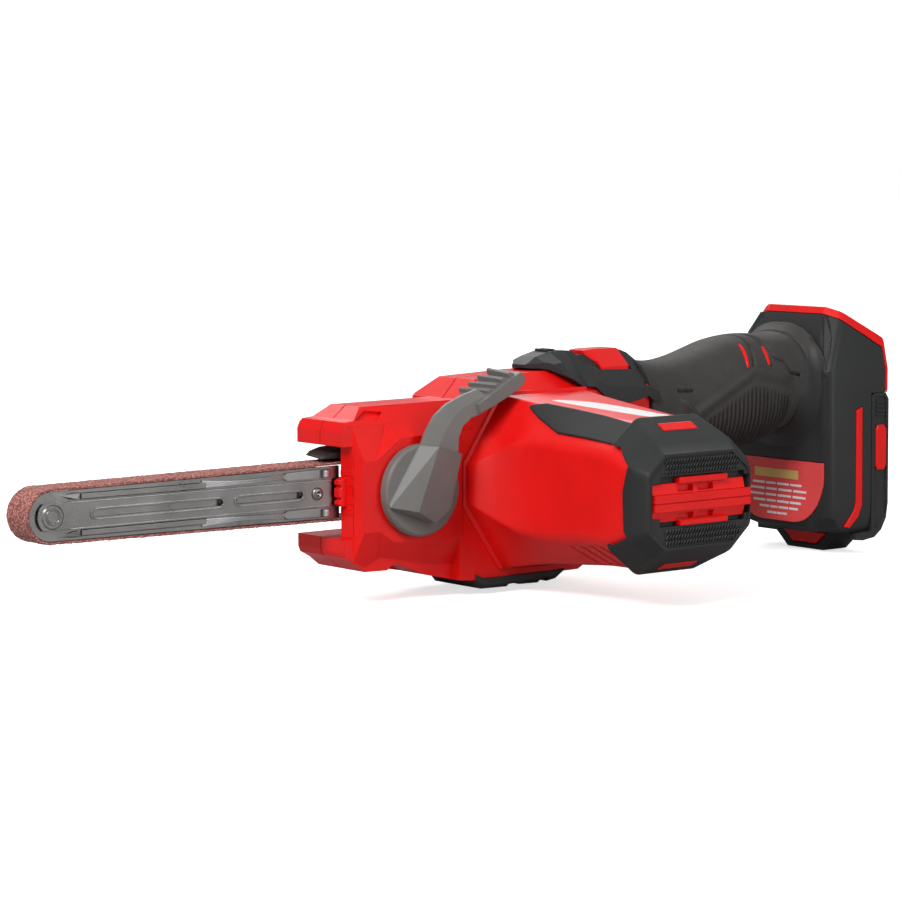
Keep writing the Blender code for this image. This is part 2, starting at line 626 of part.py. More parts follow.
def button_ring(x, low, half_width, high):
    """Section of the button that bends over the crown, between two offsets from the cover."""
    slope = (36.7 - COVER_TOP) / 8.5
    edge_z = COVER_TOP + slope * (half_width - 4.0)
    upper = [(4.0, COVER_TOP + high), (half_width, edge_z + high)]
    lower = [(half_width, edge_z + low), (4.0, COVER_TOP + low)]
    return ([(x, y, z) for y, z in upper] + [(x, y, z) for y, z in lower]
            + [(x, -y, z) for y, z in lower[::-1]] + [(x, -y, z) for y, z in upper[::-1]])


# ---------------------------------------------------------------- handle and foot
# x, middle height, half-height, half-width
HANDLE = [(HANDLE_START, 19.8, 19.8, 18.4), (52.0, 19.0, 19.0, 17.6), (62.0, 19.1, 18.3, 17.4),
          (73.0, 20.3, 18.6, 18.0), (83.0, 21.8, 19.7, 18.8), (90.0, 22.9, 20.6, 19.4),
          (GRIP_END, 23.5, 20.9, 19.8), (97.0, 23.7, 21.0, 19.8), (104.0, 24.8, 20.4, 19.6),
          (112.0, 26.0, 18.9, 19.2), (120.0, 26.8, 17.8, 19.0), (130.0, 27.4, 17.6, 19.0)]
SQUARENESS = 2.5


def oval_ring(x, middle, half_height, half_width, inset, count=20):
    points = []
    for i in range(count):
        angle = math.tau * (i + 0.5) / count
        c, s = math.cos(angle), math.sin(angle)
        y = math.copysign(abs(c) ** (2 / SQUARENESS), c) * (half_width - inset)
        z = math.copysign(abs(s) ** (2 / SQUARENESS), s) * (half_height - inset)
        points.append((x, y, middle + z))
    return points


def handle_loft(first, last, inset):
    """Handle between two stations; inset is a number or a function of x."""
    rings = []
    for x, middle, half_height, half_width in HANDLE:
        if first <= x <= last:
            depth = inset(x) if callable(inset) else inset
            rings.append(oval_ring(x, middle, half_height, half_width, depth))
    return loft(rings)


# z, front x, front half-width, shoulder x, half-width
FOOT = [(FOOT_BOTTOM, 129.0, 15.0, 139.0, 24.5), (-27.0, 126.0, 20.0, 131.0, 26.0),
        (-22.0, FOOT_FRONT, 24.0, 127.5, FOOT_HALF_WIDTH), (31.0, FOOT_FRONT, 25.3, 126.2, FOOT_HALF_WIDTH),
        (44.0, 129.0, 18.0, 135.0, 25.2), (FOOT_TOP + 1, 134.5, 15.0, 141.5, 22.0)]


def foot_loft():
    rings = []
    for z, front, front_half, shoulder, half in FOOT:
        outline = [(front, front_half), (shoulder, half), (FOOT_REAR, half)]
        rings.append([(x, y, z) for x, y in outline] + [(x, -y, z) for x, y in outline[::-1]])
    return loft(rings)


ROOF = [(120.0, 49.6), (133.0, 49.6), (143.0, 44.4), (155.0, 37.6), (155.0, PACK_TOP), (165.0, PACK_TOP)]


def half_space(side):
    """Big block that takes away one half, leaving the seam gap."""
    return block((0.0, 300.0), tuple(sorted((side * -SEAM_HALF, side * 100.0))), (-100.0, 100.0))


def make_body_shell(name, side):
    """Clamshell half: grip core, ring neck and battery foot in one moulding."""
    def step(x):
        return OVERMOULD + GAP if x <= GRIP_END else 0.0
    shell = build(name, handle_loft(HANDLE_START, 130.0, step), BLACK)
    join(shell, foot_loft())
    above = ROOF + [(165.0, 90.0), (120.0, 90.0)]
    cut(shell, prism_y(above, -40, 40))
    cut(shell, half_space(-side))
    hollow = []
    for x, middle, half_height, half_width in HANDLE:
        thick = OVERMOULD + GAP + WALL if x <= GRIP_END + 3 else 2.6
        start = x - 2 if x == HANDLE_START else x
        hollow.append(oval_ring(start, middle, half_height, half_width, thick))
    cut(shell, loft(hollow))
    cut(shell, block((FOOT_FRONT + 2.4, PACK_FRONT - GAP), (-23.8, 23.8), (-21.0, 30.0)))
    cut(shell, block((FOOT_FRONT + 6.5, PACK_FRONT - 0.5), (-15.0, 15.0), (-28.0, 42.5)))
    cut(shell, block((PACK_FRONT - 1.0, 153.0), (-24.0, 24.0), (-60.0, 36.0)))
    cut(shell, block((PACK_STEP - GAP, 170.0), (-40.0, 40.0), (-60.0, PACK_TOP + GAP)))
    cut(shell, *panel_cutters(side))
    return shell


def panel_outline(grow=0.0):
    """U-shaped front panel in (y, z)."""
    points = [(24.4 + grow, -4.4 + grow), (24.4 + grow, -11.0)]
    for i in range(1, 7):
        angle = math.radians(15 * i)
        points.append((9.0 + (15.4 + grow) * math.cos(angle), -11.0 - (16.4 + grow) * math.sin(angle)))
    return points + [(-y, z) for y, z in points[::-1]]


def panel_cutters(side):
    panel = prism_x(panel_outline(0.2), FOOT_FRONT - 2.0, FOOT_FRONT + 1.2)
    y_face = side * FOOT_HALF_WIDTH
    strip = prism_y(strip_outline(0.2), *sorted((y_face + side * 2.0, y_face - side * 1.0)))
    return panel, strip


def strip_outline(grow=0.0):
    return [(140.0 - grow, 16.0 + grow), (143.4 + grow, 17.4 + grow), (143.4 + grow, -22.0),
            (137.0, -28.2 - grow), (134.4 - grow, -28.0), (140.0 - grow, -21.4)]


def make_handle():
    make_body_shell("body_shell_near", -1)
    make_body_shell("body_shell_far", 1)
    for name, side in (("grip_overmould_near", -1), ("grip_overmould_far", 1)):
        sleeve = build(name, handle_loft(HANDLE_START, GRIP_END, 0.0), SOFT, smooth=35)
        cut(sleeve, half_space(-side))
        inner = [oval_ring(x + (-1 if x == HANDLE_START else 1 if x == GRIP_END else 0), m, h, w, OVERMOULD)
                 for x, m, h, w in HANDLE if x <= GRIP_END]
        cut(sleeve, loft(inner))
        cut(sleeve, block((40.0, 47.7), (-40, 40), (17.5, 60.0)))

    bumper = build("foot_roof_bumper", foot_loft(), RED)
    keep = [(120.0, 49.9), (133.1, 49.9), (143.1, 44.7), (155.3, 37.8), (155.3, PACK_TOP + 0.6)]
    cut(bumper, prism_y(keep + [(165.0, PACK_TOP + 0.6), (165.0, -50.0), (120.0, -50.0)], -40, 40))
    cut(bumper, prism_y([(100.0, 90.0), (100.0, 54.6), (134.5, 54.6), (144.0, 48.6), (155.5, 42.2),
                         (FOOT_REAR + 0.1, 40.2), (170.0, 40.2), (170.0, 90.0)], -40, 40))

    build("foot_front_panel", prism_x(panel_outline(), FOOT_FRONT + 0.1, FOOT_FRONT + 0.9), RED)
    for name, side in (("foot_strip_near", -1), ("foot_strip_far", 1)):
        y_face = side * FOOT_HALF_WIDTH
        build(name, prism_y(strip_outline(), *sorted((y_face - side * 0.1, y_face - side * 0.7))), RED)

    build("switch_body", block((52.0, 82.0), (-8.0, 8.0), (12.0, 30.0)), BLACK)
    build("control_board", block((129.5, 131.1), (-20.0, 20.0), (-19.0, 28.0)), BOARD)
    terminal = build("terminal_block", block((133.0, PACK_FRONT - GAP), (-13.0, 13.0), (-12.0, 14.0)), BLACK)
    for y in (-9.0, -3.0, 3.0, 9.0):
        cut(terminal, block((136.0, 150.0), (y - 1.0, y + 1.0), (-8.0, 20.0)))


def make_pack():
    core = block((PACK_FRONT, PACK_STEP + 1.0), (-23.6, 23.6), (PACK_BOTTOM, PACK_TOP - 0.5))
    case = build("battery_case", core, BLACK)
    side_view = [(PACK_STEP, PACK_TOP - 1.0), (155.5, PACK_TOP), (FOOT_REAR, PACK_TOP - 2.0),
                 (FOOT_REAR, -21.0), (156.2, -26.5), (153.4, -30.8), (150.0, -32.8), (PACK_STEP, PACK_BOTTOM)]
    join(case, prism_y(side_view, -FOOT_HALF_WIDTH + 0.2, FOOT_HALF_WIDTH - 0.2))
    chin = [(-17.5, PACK_BOTTOM + 2.0), (-9.0, -38.6), (9.0, -38.6), (17.5, PACK_BOTTOM + 2.0)]
    join(case, prism_x(chin, PACK_FRONT, 151.0))
    cut(case, block((PACK_FRONT + 1.6, 155.0), (-21.2, 21.2), (-30.5, 19.5)))
    cut(case, block((PACK_FRONT - 1, 145.0), (-10.0, 10.0), (-10.0, 16.0)))
    button = [(-11.4, -31.6), (-6.0, -36.2), (6.0, -36.2), (11.4, -31.6)]
    bigger = [(-12.2, -31.3), (-6.2, -36.5), (6.2, -36.5), (12.2, -31.3)]
    cut(case, prism_x(bigger, PACK_FRONT - 1.0, 145.0))
    build("release_button", prism_x(button, PACK_FRONT - 0.8, 142.4), RED)
    for name, side in (("pack_pad_near", -1), ("pack_pad_far", 1)):
        pad = [(150.4, -6.0), (151.4, -7.4), (154.6, -7.4), (155.4, -6.0),
               (155.4, 8.2), (154.6, 9.6), (151.4, 9.6), (150.4, 8.2)]
        bigger = [(153.0 + (x - 153.0) * 1.12, 1.1 + (z - 1.1) * 1.04) for x, z in pad]
        y_face = side * (FOOT_HALF_WIDTH - 0.2)
        cut(case, prism_y(bigger, *sorted((y_face + side, y_face - side * 1.2))))
        build(name, prism_y(pad, *sorted((y_face + side * 0.5, y_face - side * 0.9))), RED)
    for number in range(3):
        front = PACK_FRONT + 2.0 + number * 4.4
        build(f"battery_cell_{number + 1}", block((front, front + 4.0), (-20.5, 20.5), (-29.5, 18.5)), FOIL)


def main():
    clear_scene()
    make_belt()
    make_arm()
    make_spring()
    make_head()
    make_lever()
    make_barrel()
    make_motor()
    make_cover()
    make_handle()
    make_pack()


main()
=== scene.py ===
"""Studio scene of the handheld narrow-belt sander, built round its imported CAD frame.

Shapes are in millimetres from the drive wheel's centre: +X towards the battery foot, the motor
barrel points to -Y, +Z up. piece() turns them into metres from the frame's origin.
"""
import json
from functools import cache, partial
from math import asin, copysign, cos, pi, radians, sin, tau

import bmesh
import bpy
from mathutils import Matrix, Vector, noise


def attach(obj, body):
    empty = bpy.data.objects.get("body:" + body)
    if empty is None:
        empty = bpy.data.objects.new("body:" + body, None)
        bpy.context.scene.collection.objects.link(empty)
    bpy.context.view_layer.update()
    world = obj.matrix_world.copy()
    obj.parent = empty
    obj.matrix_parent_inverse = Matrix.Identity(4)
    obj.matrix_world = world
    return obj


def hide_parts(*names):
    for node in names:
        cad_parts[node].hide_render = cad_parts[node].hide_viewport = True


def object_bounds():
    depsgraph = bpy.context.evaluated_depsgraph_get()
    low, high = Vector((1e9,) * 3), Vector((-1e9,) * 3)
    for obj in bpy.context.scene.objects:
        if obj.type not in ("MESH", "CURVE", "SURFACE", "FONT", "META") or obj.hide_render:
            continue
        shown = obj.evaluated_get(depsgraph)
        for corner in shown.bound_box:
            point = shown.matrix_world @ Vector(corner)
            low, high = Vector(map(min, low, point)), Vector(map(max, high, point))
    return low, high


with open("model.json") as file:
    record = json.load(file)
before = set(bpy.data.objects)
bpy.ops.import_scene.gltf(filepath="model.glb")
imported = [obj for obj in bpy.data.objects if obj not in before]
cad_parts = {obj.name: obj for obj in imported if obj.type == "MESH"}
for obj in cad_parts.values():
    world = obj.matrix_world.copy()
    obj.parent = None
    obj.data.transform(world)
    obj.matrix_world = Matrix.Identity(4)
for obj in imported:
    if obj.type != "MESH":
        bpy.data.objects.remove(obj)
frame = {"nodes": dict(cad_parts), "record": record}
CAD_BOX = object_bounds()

MM = 0.001
STUDIO = bpy.context.scene
# the frame's origin, on the pack's back, seen from the drive wheel's centre, in metres
ORIGIN = Vector((0.1572, 0, 0))
SIDES = ((-1, "near"), (1, "far"))
BEYOND = 40  # cutters reach this far out, past any side of the tool


# ---- materials
def feed(tree, node, sockets):
    """Give sockets a value or another node's output."""
    for name, value in sockets.items():
        if hasattr(value, "node"):
            tree.links.new(value, node.inputs[name])
        else:
            node.inputs[name].default_value = value


def grow_node(tree, kind, sockets=None, **settings):
    node = tree.nodes.new(kind)
    for key, value in settings.items():
        setattr(node, key, value)
    feed(tree, node, sockets or {})
    return node


class Shader:
    """Short-hand for building a material; scales are features per metre in object space."""

    def __init__(self, name):
        self.made = bpy.data.materials.new(name)
        self.made.use_nodes = True
        self.tree = self.made.node_tree
        self.place = self.add("ShaderNodeTexCoord").outputs["Object"]

    def add(self, kind, sockets=None, **settings):
        return grow_node(self.tree, kind, sockets, **settings)

    def noise(self, scale, detail=4, stretch=None):
        place = self.place
        if stretch:
            mapping = self.add("ShaderNodeMapping", {"Scale": stretch, "Vector": place})
            place = mapping.outputs["Vector"]
        sockets = {"Scale": scale, "Detail": detail, "Roughness": 0.55, "Vector": place}
        return self.add("ShaderNodeTexNoise", sockets).outputs["Fac"]

    def cells(self, scale):
        node = self.add("ShaderNodeTexVoronoi", {"Scale": scale, "Vector": self.place})
        return node.outputs["Distance"]

    def ramp(self, value, stops):
        node = self.add("ShaderNodeValToRGB", {"Fac": value})
        band = node.color_ramp
        while len(band.elements) < len(stops):
            band.elements.new(0.5)
        for element, (at, colour) in zip(band.elements, stops):
            element.position = at
            element.color = (*colour, 1)
        return node.outputs["Color"]

    def cloud(self, value, colour, dark, light):
        """The colour, from a darker to a lighter share of itself as the value rises."""
        stops = [(at, [min(1, channel * share) for channel in colour])
                 for at, share in ((0.3, dark), (0.7, light))]
        return self.ramp(value, stops)

    def span(self, value, low, high):
        node = self.add("ShaderNodeMapRange", {"To Min": low, "To Max": high, "Value": value})
        return node.outputs["Result"]

    def combine(self, first, second, operation="ADD"):
        node = self.add("ShaderNodeMath", {0: first, 1: second}, operation=operation)
        return node.outputs["Value"]

    def bump(self, height, distance, strength, edge=0):
        """Relief from a height, over edges that are rounded in the shading."""
        node = self.add("ShaderNodeBump", {"Strength": strength, "Distance": distance, "Height": height})
        if edge:
            soft = self.add("ShaderNodeBevel", {"Radius": edge}, samples=4)
            feed(self.tree, node, {"Normal": soft.outputs["Normal"]})
        return node.outputs["Normal"]

    def finish(self, **sockets):
        """Fill the surface's sockets; an underscore in a name stands for a blank."""
        filled = {name.replace("_", " "): value for name, value in sockets.items()}
        feed(self.tree, self.tree.nodes["Principled BSDF"], filled)
        return self.made


def plastic(name, colour, roughness, grain, depth, edge=0.0004, coat=0):
    """Moulded plastic: faint mottling, uneven sheen and a fine moulded grain."""
    s = Shader(name)
    return s.finish(
        Base_Color=s.cloud(s.noise(60, 3), colour, 0.93, 1.05),
        Roughness=s.span(s.noise(240), roughness - 0.05, roughness + 0.06),
        Specular_IOR_Level=0.3, Coat_Weight=coat, Coat_Roughness=0.12,
        Normal=s.bump(s.noise(grain, 2), depth, 0.35, edge),
    )


def rubber(name, colour):
    s = Shader(name)
    cells = s.cells(1500)
    return s.finish(
        Base_Color=s.cloud(s.noise(90), colour, 0.85, 1.15),
        Roughness=s.span(s.noise(400), 0.6, 0.78),
        Normal=s.bump(s.combine(cells, s.noise(2600)), 0.00006, 0.6, 0.0005),
    )


def metal(name, colour, roughness):
    """Rolled steel with fine drawn lines along X and cloudy wear."""
    s = Shader(name)
    lines = s.noise(900, 3, (1, 9, 9))
    cloud = s.noise(70, 5)
    sheen = s.combine(lines, cloud, "MULTIPLY")
    return s.finish(
        Base_Color=s.cloud(cloud, colour, 0.78, 1.12), Metallic=1,
        Roughness=s.span(sheen, roughness - 0.08, roughness + 0.3),
        Normal=s.bump(lines, 0.00003, 0.25, 0.0003),
    )


def grit(name):
    """Open-coat abrasive: packed reddish grains with dark gaps and pale glints."""
    s = Shader(name)
    grains = s.cells(1150)
    fine = s.noise(2600, 2)
    mixed = s.combine(grains, s.combine(fine, 0.6, "MULTIPLY"))
    tones = [(0.32, (0.8, 0.36, 0.31)), (0.6, (0.52, 0.2, 0.17)), (0.92, (0.24, 0.08, 0.07))]
    return s.finish(
        Base_Color=s.ramp(mixed, tones), Roughness=s.span(fine, 0.75, 0.95),
        Normal=s.bump(s.combine(mixed, -1, "MULTIPLY"), 0.00035, 0.9),
    )


RED = (0.80, 0.005, 0.004)
BLACK = (0.0240, 0.0248, 0.0256)
LOOKS = {
    "red": plastic("red nylon", RED, 0.36, 2200, 0.00003, coat=0.08),
    "black": plastic("black nylon", BLACK, 0.47, 1800, 0.00005),
    "grip": rubber("soft grip", (0.034, 0.031, 0.028)),
    "lever": plastic("grey lever plastic", (0.165, 0.160, 0.153), 0.42, 1500, 0.00004),
    "stamped": metal("stamped steel", (0.235, 0.232, 0.226), 0.3),
    # bright steel for the leaf springs and clips, and also the painted highlight strips on the arm's plate
    "bright": metal("bright steel", (0.40, 0.40, 0.405), 0.2),
    "belt": grit("belt grit"),
    "copper": metal("copper winding", (0.62, 0.27, 0.12), 0.4),
    "board": plastic("circuit board", (0.02, 0.13, 0.05), 0.4, 900, 0.00004),
    "foil": metal("cell foil", (0.5, 0.5, 0.52), 0.3),
    "label": plastic("label panel", (0.85, 0.075, 0.075), 0.4, 1500, 0.00002),
    "amber": plastic("label heading", (0.72, 0.47, 0.14), 0.4, 1500, 0.00002),
    "white": plastic("white print", (0.8, 0.8, 0.8), 0.4, 1500, 0.00002, 0),
}


# ---- mesh helpers
def show(name, data):
    made = bpy.data.objects.new(name, data)
    STUDIO.collection.objects.link(made)
    return made


def bridge(shape, low, high):
    """Faces between two loops of vertices; a loop of one vertex makes them triangles."""
    count = max(len(low), len(high))
    for i in range(count):
        j = (i + 1) % count
        corners = (low[i % len(low)], low[j % len(low)], high[j % len(high)], high[i % len(high)])
        shape.faces.new(list(dict.fromkeys(corners)))


def loft(rings):
    """Closed skin through rings that have the same number of points."""
    shape = bmesh.new()
    loops = [[shape.verts.new(point) for point in ring] for ring in rings]
    for low, high in zip(loops, loops[1:]):
        bridge(shape, low, high)
    shape.faces.new(loops[0][::-1])
    shape.faces.new(loops[-1])
    return shape


def mirrored(half):
    """An outline from its right half."""
    return half + [(-across, up) for across, up in half[::-1]]


def flat(outline, y):
    """An outline in (x, z) laid at one y."""
    return [(x, y, z) for x, z in outline]


def at_x(xs, outline):
    """The corners of a (y, z) outline at each x."""
    return [(x, y, z) for x in xs for y, z in outline]


def prism_y(outline, low, high):
    return loft([flat(outline, y) for y in (low, high)])


def side_prism(outline, side, inner, outer):
    """Prism between two distances from the belt's middle, on the far (1) or near (-1) side."""
    return prism_y(outline, *sorted((side * inner, side * outer)))


def prism_x(outline, low, high):
    return loft([at_x([x], outline) for x in (low, high)])


def prism_z(outline, low, high):
    return loft([[(x, y, z) for x, y in outline] for z in (low, high)])


def block(x_range, y_range, z_range):
    (x0, x1), (y0, y1), (z0, z1) = x_range, y_range, z_range
    return prism_z([(x0, y0), (x1, y0), (x1, y1), (x0, y1)], z0, z1)


def hull(points):
    """Faceted convex solid round a handful of corner points."""
    shape = bmesh.new()
    for point in points:
        shape.verts.new(point)
    bmesh.ops.convex_hull(shape, input=shape.verts)
    loose = [vert for vert in shape.verts if not vert.link_faces]
    bmesh.ops.delete(shape, geom=loose, context="VERTS")
    return shape


def turned(profile, centre=(0, 0), count=64):
    """Solid of revolution round an axis along Y; profile holds (y, radius).

    It starts and ends on the axis, or is closed to a ring if it starts off the axis.
    """
    shape = bmesh.new()
    cx, cz = centre
    turn = tau / count
    rings = []
    for y, radius in profile:
        spots = [(cx + radius * cos(turn * i), y, cz + radius * sin(turn * i))
                 for i in range(count if radius else 1)]
        rings.append([shape.verts.new(spot) for spot in spots])
    pairs = list(zip(rings, rings[1:]))
    if profile[0][1] > 0:
        pairs.append((rings[-1], rings[0]))
    for low, high in pairs:
        bridge(shape, low, high)
    return shape


def pin(low, high, radius, centre=(0, 0)):
    return turned([(low, 0), (low, radius), (high, radius), (high, 0)], centre, 48)


def raw(name, shape):
    bmesh.ops.recalc_face_normals(shape, faces=shape.faces)
    mesh = bpy.data.meshes.new(name)
    shape.to_mesh(mesh)
    shape.free()
    return show(name, mesh)


def bake(shape, joins, cuts):
    """Apply unions, then cuts, and hand back one clean mesh."""
    base = raw("blank", shape)
    helpers = []
    for operation, shapes in (("UNION", joins), ("DIFFERENCE", cuts)):
        for other in shapes:
            helper = raw("helper", other)
            helpers.append(helper)
            step = base.modifiers.new("step", "BOOLEAN")
            step.operation = operation
            step.solver = "EXACT"
            step.object = helper
    bpy.context.view_layer.update()
    graph = bpy.context.evaluated_depsgraph_get()
    mesh = bpy.data.meshes.new_from_object(base.evaluated_get(graph))
    for item in helpers + [base]:
        bpy.data.objects.remove(item, do_unlink=True)
    if helpers:
        tidy = bmesh.new()
        tidy.from_mesh(mesh)
        bmesh.ops.remove_doubles(tidy, verts=tidy.verts, dist=0.004)
        bmesh.ops.dissolve_limit(tidy, angle_limit=radians(0.6), verts=tidy.verts, edges=tidy.edges)
        bmesh.ops.dissolve_degenerate(tidy, edges=tidy.edges, dist=0.004)
        tidy.to_mesh(mesh)
        tidy.free()
    return mesh


def piece(name, look, shape, stands_for="", joins=(), cuts=(), bevel=0, angle=25, sharp=None, body="body"):
    """A visible piece in millimetres with rounded edges, riding on a CAD body.

    angle, in degrees, is the least corner that gets rounded, and sharp the least that stays a
    hard edge in the shading. stands_for names the CAD nodes that the piece replaces.
    """
    mesh = bake(shape, joins, cuts)
    mesh.name = name
    mesh.transform(Matrix.Translation(-ORIGIN) @ Matrix.Scale(MM, 4))
    mesh.materials.append(LOOKS[look])
    mesh.shade_smooth()
    mesh.set_sharp_from_angle(angle=radians(sharp or angle))
    made = show(name, mesh)
    if bevel:
        edge = made.modifiers.new("rounded edges", "BEVEL")
        edge.width = bevel * MM
        edge.segments = 3
        edge.limit_method = "ANGLE"
        edge.angle_limit = radians(angle)
        edge.harden_normals = True
        edge.miter_outer = "MITER_ARC"
    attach(made, body)
    if stands_for:
        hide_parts(*stands_for.split())
    return made


def spline(keys, step):
    """Catmull-Rom through rows of numbers, sampled evenly in the first column."""
    rows = []
    last = len(keys) - 1
    for i in range(last):
        before, low, high, after = keys[max(i - 1, 0)], keys[i], keys[i + 1], keys[min(i + 2, last)]
        span = high[0] - low[0]
        count = max(1, round(abs(span) / step))
        for k in range(count):
            t = k / count
            row = []
            for a, b, c, d in zip(before, low, high, after):
                slope_low = (c - a) / (high[0] - before[0]) * span
                slope_high = (d - b) / (after[0] - low[0]) * span
                row.append(
                    (2 * t**3 - 3 * t**2 + 1) * b + (t**3 - 2 * t**2 + t) * slope_low
                    + (-2 * t**3 + 3 * t**2) * c + (t**3 - t**2) * slope_high
                )
            row[0] = low[0] + span * t
            rows.append(tuple(row))
    rows.append(tuple(keys[-1]))
    return rows


def soften(outline, radius, count=5):
    """Round each corner of a closed outline with a quadratic curve."""
    points = []
    total = len(outline)
    for i, corner in enumerate(outline):
        corner = Vector(corner)
        before = Vector(outline[i - 1]) - corner
        after = Vector(outline[(i + 1) % total]) - corner
        start = corner + before.normalized() * min(radius, before.length * 0.48)
        end = corner + after.normalized() * min(radius, after.length * 0.48)
        for k in range(count + 1):
            t = k / count
            points.append(tuple(start * (1 - t) ** 2 + corner * 2 * t * (1 - t) + end * t * t))
    return points


def polish_cad_nodes():
    """Every CAD node that is still shown gets its slot's procedural finish."""
    slots = {row["node"]: row["material_slot"] for row in frame["record"]["subparts"]}
    for name, node in frame["nodes"].items():
        node.data.materials.clear()
        node.data.materials.append(LOOKS[slots[name]])


# ---- barrel and cap
# distance from the belt, reach to -X, to +X, top, bottom, corner chamfers, corner rounding
BARREL = [
    (17, 39.4, 30, 30, 30, 16, 23.5, 0.6), (20, 39, 29.6, 29.8, 29.8, 16, 23, 0.8),
    (27, 34, 28, 28.6, 28.6, 13.5, 17, 1.2), (36, 30, 27, 27.4, 27.6, 12, 12, 2),
    (48, 27.4, 26.4, 26.2, 26.8, 11.5, 10.5, 3), (62, 26, 26, 24.8, 25.8, 11.5, 10, 3.4),
    (76.5, 25.5, 25.5, 23.4, 25.2, 12, 9.8, 3.4), (84, 25.4, 25.4, 19.6, 22, 11, 8.6, 3.4),
    (87.5, 25.4, 25.4, 17, 19.4, 9.4, 7.8, 3),
]
CAP = [
    (76.5, 26.1, 26.1, 25.5, 27.3, 12.5, 10, 2), (82, 26.1, 26.1, 22.4, 24.4, 11, 9.2, 2),
    (88.2, 26.1, 26.1, 18.8, 21.2, 9.2, 8.2, 2), (89.4, 26, 25.7, 18, 20.6, 9, 8, 2),
    (94.2, 25, 21.8, 15.2, 17.6, 7.6, 6.4, 1.6), (95.2, 24.4, 21.2, 14.9, 17.1, 7.4, 6.2, 1.4),
]
CAP_FLOOR = 94.6
CAP_WALL = 0.9
CAP_OUT = -99  # past the cap's face


def barrel_ring(section, grow=0):
    distance, left, right, top, bottom, chamfer_x, chamfer_z, corner = section
    left, right, top, bottom = (side + grow for side in (left, right, top, bottom))
    outline = [
        (chamfer_x - left, -bottom), (right - chamfer_x, -bottom),
        (right, chamfer_z - bottom), (right, top - chamfer_z),
        (right - chamfer_x, top), (chamfer_x - left, top),
        (-left, top - chamfer_z), (-left, chamfer_z - bottom),
    ]
    return [(x, -distance, z) for x, z in soften(outline, corner)]


def barrel_at(distance):
    rows = spline(BARREL, 0.5)
    return min(rows, key=lambda row: abs(row[0] - distance))


def barrel_core(rows, wall):
    """The barrel's inside, run 2 mm on at both ends so that it cuts clean through."""
    rings = [barrel_ring(row, -wall) for row in rows]
    for end, past in ((0, 2), (-1, -2)):
        rings[end] = [(x, y + past, z) for x, y, z in rings[end]]
    return loft(rings)


def strap_ring(distance, start, end, side):
    """Strip across the upper chamfer from share start to share end, let into it and standing proud."""
    _, left, right, top, _, chamfer_x, chamfer_z, _ = barrel_at(distance)
    reach = left if side < 0 else right
    corner = Vector((side * (reach - chamfer_x), top))
    run = Vector((side * chamfer_x, -chamfer_z))
    normal = Vector((side * chamfer_z, chamfer_x)).normalized()
    spots = [(start, -1.2), (end, -1.2), (end, 0.9), (start, 0.9)]
    points = [corner + run * share + normal * lift for share, lift in spots]
    return [(point.x, -distance, point.y) for point in points]


def make_barrel():
    vents = []
    vent = ((-23.6, -15.5, 5), (-23.6, -30, 5), (-11, -30, -5), (-11, -21, -5))
    for i in range(4):
        y = -59.5 - i * 5.2
        vents.append(hull([(x, y + dy + lean, z) for x, z, lean in vent for dy in (-0.95, 0.95)]))
    rows = spline(BARREL, 4)
    rims = ((16.6, 1), (17.5, 1), (17.9, 0.5), (17.95, 0))
    skin = [barrel_ring((distance, *BARREL[0][1:]), grow) for distance, grow in rims]
    skin += [barrel_ring(row) for row in spline(BARREL, 1.5) if row[0] > 18.2]
    piece("barrel_housing", "red", loft(skin), "motor_barrel",
          cuts=[barrel_core(rows, 2.2)] + vents, angle=32, sharp=32)
    # distance from the belt, then the shares of the chamfer where the strap starts and ends
    straps = {
        "front": [(30.4, 0.08, 0.14), (36, -0.02, 0.35), (48.5, -0.02, 0.71), (62, -0.02, 0.7),
                  (79, -0.02, 0.68)],
        "rear": [(30.4, 0.3, 0.36), (36, 0.28, 0.45), (48.5, 0.24, 0.75), (62, 0.2, 0.74), (79, 0.1, 0.72)],
    }
    for side, tag in ((-1, "front"), (1, "rear")):
        rings = [strap_ring(*key, side) for key in straps[tag]]
        piece(f"barrel_strap_{tag}_trim", "black", loft(rings), f"barrel_strap_{tag}", bevel=0.45)
    keys = [(30, -11, -8), (36, -9, 0.5), (48, -5.3, 5.5), (62, -0.8, 8.5), (69, 1.2, 9.6)]
    rings = []
    for distance, x0, x1 in spline(keys, 1.5):
        top = barrel_at(distance)[3]
        corners = ((x0, top - 0.3), (x1, top - 0.3), (x1, top + 0.12), (x0, top + 0.12))
        rings.append(flat(corners, -distance))
    piece("barrel_top_strip", "white", loft(rings))
    # painted shade: a black sleeve just inside the wall behind the vents, so they read dark where the
    # barrel's inside lies in shade
    rows = [row for row in rows if 50 < row[0] < 82]
    shade_sheet = loft([barrel_ring(row, -2.5) for row in rows])
    piece("vent_painted_shade", "black", shade_sheet, cuts=[barrel_core(rows, 3.3)])


def cap_cutters():
    ends = ((76, *CAP[0][1:]), (87.7, 26.1, 26.1, 19.1, 21.5, 9.4, 8.3, 2))
    cuts = [loft([barrel_ring(row, -CAP_WALL) for row in ends])]
    notch = [(-84.6, -10.6), (-84.1, 2.3), (-86.6, 11), (-79.8, 16.5), (-74, 17.6),
             (-74, -14.2), (-77.7, -16.4), (-86.2, -12.8)]
    cuts += [prism_x(notch, -BEYOND, -19.5), prism_x(notch, 19.5, BEYOND)]
    inside = [(x, z) for x, _, z in barrel_ring(CAP[-1], -CAP_WALL)]
    cuts.append(prism_y(inside, CAP_OUT, -CAP_FLOOR))
    stepped = [(-22.2, -6.4), (-18.8, -6.4), (-18.8, -9.2), (19, -9.2), (19, -7), (20.8, -7),
               (20.8, 6), (19, 6), (19, 7.4), (-18.8, 7.4), (-18.8, 5.2), (-22.2, 5.2)]
    cuts.append(prism_y(stepped, CAP_OUT, -91.8))
    return cuts


